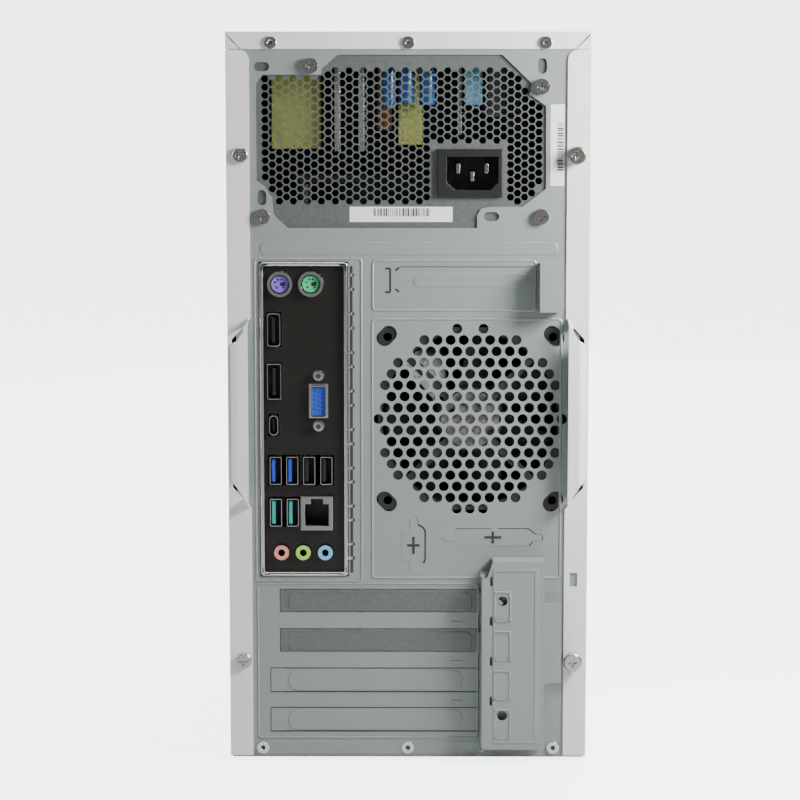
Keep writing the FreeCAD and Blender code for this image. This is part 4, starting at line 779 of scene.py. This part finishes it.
shells = [shell(place, (6, 14), 0.6, 13) for place in USB_PLACES] + [shell(OVAL, (4.5, 10), 2.2, 8.5)]
socket_set("usb_shells", shells, BRIGHT, "bright_steel", "usb_ports")
shells = [shell(SMALL_DIGITAL, (6.5, 16.5), 1.6, 10), shell(TALL_DIGITAL, (7, 17.8), 0.7, 10)]
socket_set("display_shells", shells, BRIGHT, "bright_steel", "display_ports")
socket_set("blue_tongues", tongues_at(USB_PLACES[:2], 1.2), BLUE, "black_plastic")
socket_set("teal_tongues", tongues_at(USB_PLACES[4:], 1.2), TEAL, "black_plastic")
blocks = tongues_at(USB_PLACES[2:4], 1.6) + [insert(place, (5.3, 13.3), 12.4, 3.6) for place in USB_PLACES]
# tongue and back of each other socket: place, tongue size, its front and depth, then the back's
OTHERS = [(OVAL, (0.8, 6.6), 1.2, 7, (3.8, 9.3), 8, 1.4),
          (SMALL_DIGITAL, (1.6, 12.4), 1.4, 8, (5.8, 15.8), 9.4, 1.6),
          (TALL_DIGITAL, (1.7, 13.4), 1.4, 8, (6.3, 17.1), 9.4, 1.6)]
for place, size, front, depth, back_size, back_front, back_depth in OTHERS:
    blocks += [insert(place, size, front, depth), insert(place, back_size, back_front, back_depth)]
socket_set("black_tongues", blocks, BLACK, "black_plastic")
print("flat sockets:", len(USB_PLACES) + 3)

# %% Display socket with jack screws
DISPLAY = (44.8, 184.1)
JACK_SCREWS = ((44.8, 197.0), (44.8, 171.6))
PIN_ROW, PIN_STEP, PIN_SHIFT = 1.9, 2.3, 0.6


def disc_at(name, x, z, depth, radius, thick, sides=32):
    """Short cylinder facing the rear, its middle set back from the port face; mm."""
    return round_piece(name, (x * MM, PORT_FACE - depth * MM, z * MM), radius * MM, thick * MM, "Y", sides)


collar = [shell(DISPLAY, (8.4, 16.2), 1.7, 7, 0.5), insert(DISPLAY, (13.2, 31), 2.9, 1.1)]
collar += [bevelled(disc_at("nut", x, z, 1.2, 2.4, 3.6), 0.3 * MM) for x, z in JACK_SCREWS]
socket_set("vga_collar", collar, BRIGHT, "bright_steel", "vga_port")
socket_set("vga_insert", [insert(DISPLAY, (6.8, 14.6), 1.2, 1.6)], BLUE, "black_plastic")
# the pin holes and the threaded holes of the jack screws are dark discs of painted shade
holes = [disc_at("hole", DISPLAY[0] + row * PIN_ROW, DISPLAY[1] + (step - 2) * PIN_STEP + PIN_SHIFT * row,
                 1.2, 0.45, 0.1, 12) for row in (-1, 0, 1) for step in range(5)]
holes += [disc_at("hole", x, z, -0.6, 1.2, 0.1, 20) for x, z in JACK_SCREWS]
socket_set("vga_holes", holes, INK_AND_SHADE, "black_plastic")
print("display socket holes:", len(holes))

# %% Round sockets
ROUND_SOCKETS = ((PURPLE, 63.8, 242.7), (MINT, 48.4, 242.8))
pair = softened("keyboard_mouse_ports", BRIGHT, 0.3)
for material, x, z in ROUND_SOCKETS:
    paint_faces(pair, material,
                lambda at, x=x, z=z: math.hypot(at.x - x, at.z - z) < 4.4 and 178 < at.y < 187.1)
paint_faces(pair, BLACK, lambda at: at.y < 178.1)
keys = [insert((x - 1.5, z), (2.4, 1.9), 1.05, 1) for _, x, z in ROUND_SOCKETS]
socket_set("round_socket_keys", keys, BLACK, "black_plastic")
jacks = softened("audio_jacks", BLACK, 0.3)
for material, middle in ((PINK, 63.6), (LIME, 52.7), (SKY, 41.6)):
    paint_faces(jacks, material, lambda at, middle=middle: abs(at.x - middle) < 4.2 and at.y > 187.2)
network = softened("network_port", GREY, 0.3)
paint_faces(network, BLACK, lambda at: at.y < 187.9 and 39.8 < at.x < 51.8 and 121 < at.z < 135.2)
front = shell((45.85, 127.7), (16.2, 17.2), 0.5, 2.5, 0.4)
socket_set("network_shell", [front], BRIGHT, "bright_steel")
print("round sockets:", len(ROUND_SOCKETS), "and three jacks")

# %% [markdown]
# ## Labels, painted shade in the rivets and the fan label
# Two paper labels carry plain bars. The hollow middle of each rivet holds a dark disc of painted shade,
# and the case fan has a round foil label on its motor seat.

# %% Labels
rng = random.Random(7)
PRINT_THICK = 0.00005


def bars_along(start, end, across_low, across_high, plane, upright):
    """Run of plain bars of uneven width between two places; mm."""
    bars = []
    place = start
    while place < end:
        width = rng.choice((0.25, 0.25, 0.45, 0.7))
        if upright:
            low, high = (across_low, place), (across_high, place + width)
        else:
            low, high = (place, across_low), (place + width, across_high)
        bars.append(box_piece("bar", (low[0] * MM, plane, low[1] * MM),
                              (high[0] * MM, plane + PRINT_THICK, high[1] * MM)))
        place += width + rng.choice((0.3, 0.5, 0.8))
    return bars


SUPPLY_PLATE, PAPER_THICK = 0.186, 0.00012
supply_label = box_piece("label", (-0.022, SUPPLY_PLATE, 0.2736),
                         (0.029, SUPPLY_PLATE + PAPER_THICK, 0.2811))
side_label = box_piece("label", (-0.0771, REAR, 0.2915), (-0.0702, REAR + PAPER_THICK, 0.3315))
labels = settle(join([supply_label, side_label], "paper_labels"), "paper_labels")
dress(labels, PAPER)
bars = bars_along(-10.5, 17.5, 276.4, 280.4, SUPPLY_PLATE + PAPER_THICK, False)
bars += bars_along(299, 322.5, -76.6, -73.6, REAR + PAPER_THICK, True)
bar_print = settle(join(bars, "label_bars"), "label_bars")
dress(bar_print, INK_AND_SHADE)
print("label bars:", len(bars))

# %% Painted shade in the rivets, and the fan label
RIVETS = [(x, 361.6, 0.1884) for x in (67.8, 0, -67.5)] + [(x, 7.2, 0.1876) for x in (73.5, 0, -73.5)]
# a dark disc of painted shade fills the hollow middle of each rivet
hole_shades = [round_piece("hole_shade", (x * MM, face, z * MM), 0.001, 0.0004, "Y", 20) for x, z, face in RIVETS]
rivet_hole_shade = settle(bevelled(join(hole_shades, "rivet_hole_shade"), 0.0002, 2), "rivet_hole_shade")
dress(rivet_hole_shade, INK_AND_SHADE)
foil = round_piece("foil", (-0.031, 0.1862, 0.1752), 0.0145, 0.0001, "Y", 48)
fan_label = settle(bevelled(foil, 0.00003, 1), "case_fan_label")
dress(fan_label, HUB_FOIL)
print("rivet cores:", len(hole_shades))

# %% [markdown]
# ## Dark sheet of painted shade behind the front grille
# Behind the slots of the front grille lies a dark sheet of painted shade, so no daylight crosses the case.

# %% Front shade sheet
FRONT_WALL = -0.1974
shade_sheet = box_piece("front_shade_sheet", (-0.063, FRONT_WALL, 0.018), (0.063, FRONT_WALL + 0.0005, 0.103))
dress(settle(shade_sheet, "front_shade_sheet"), SLEEVE)
print("gauze laid")
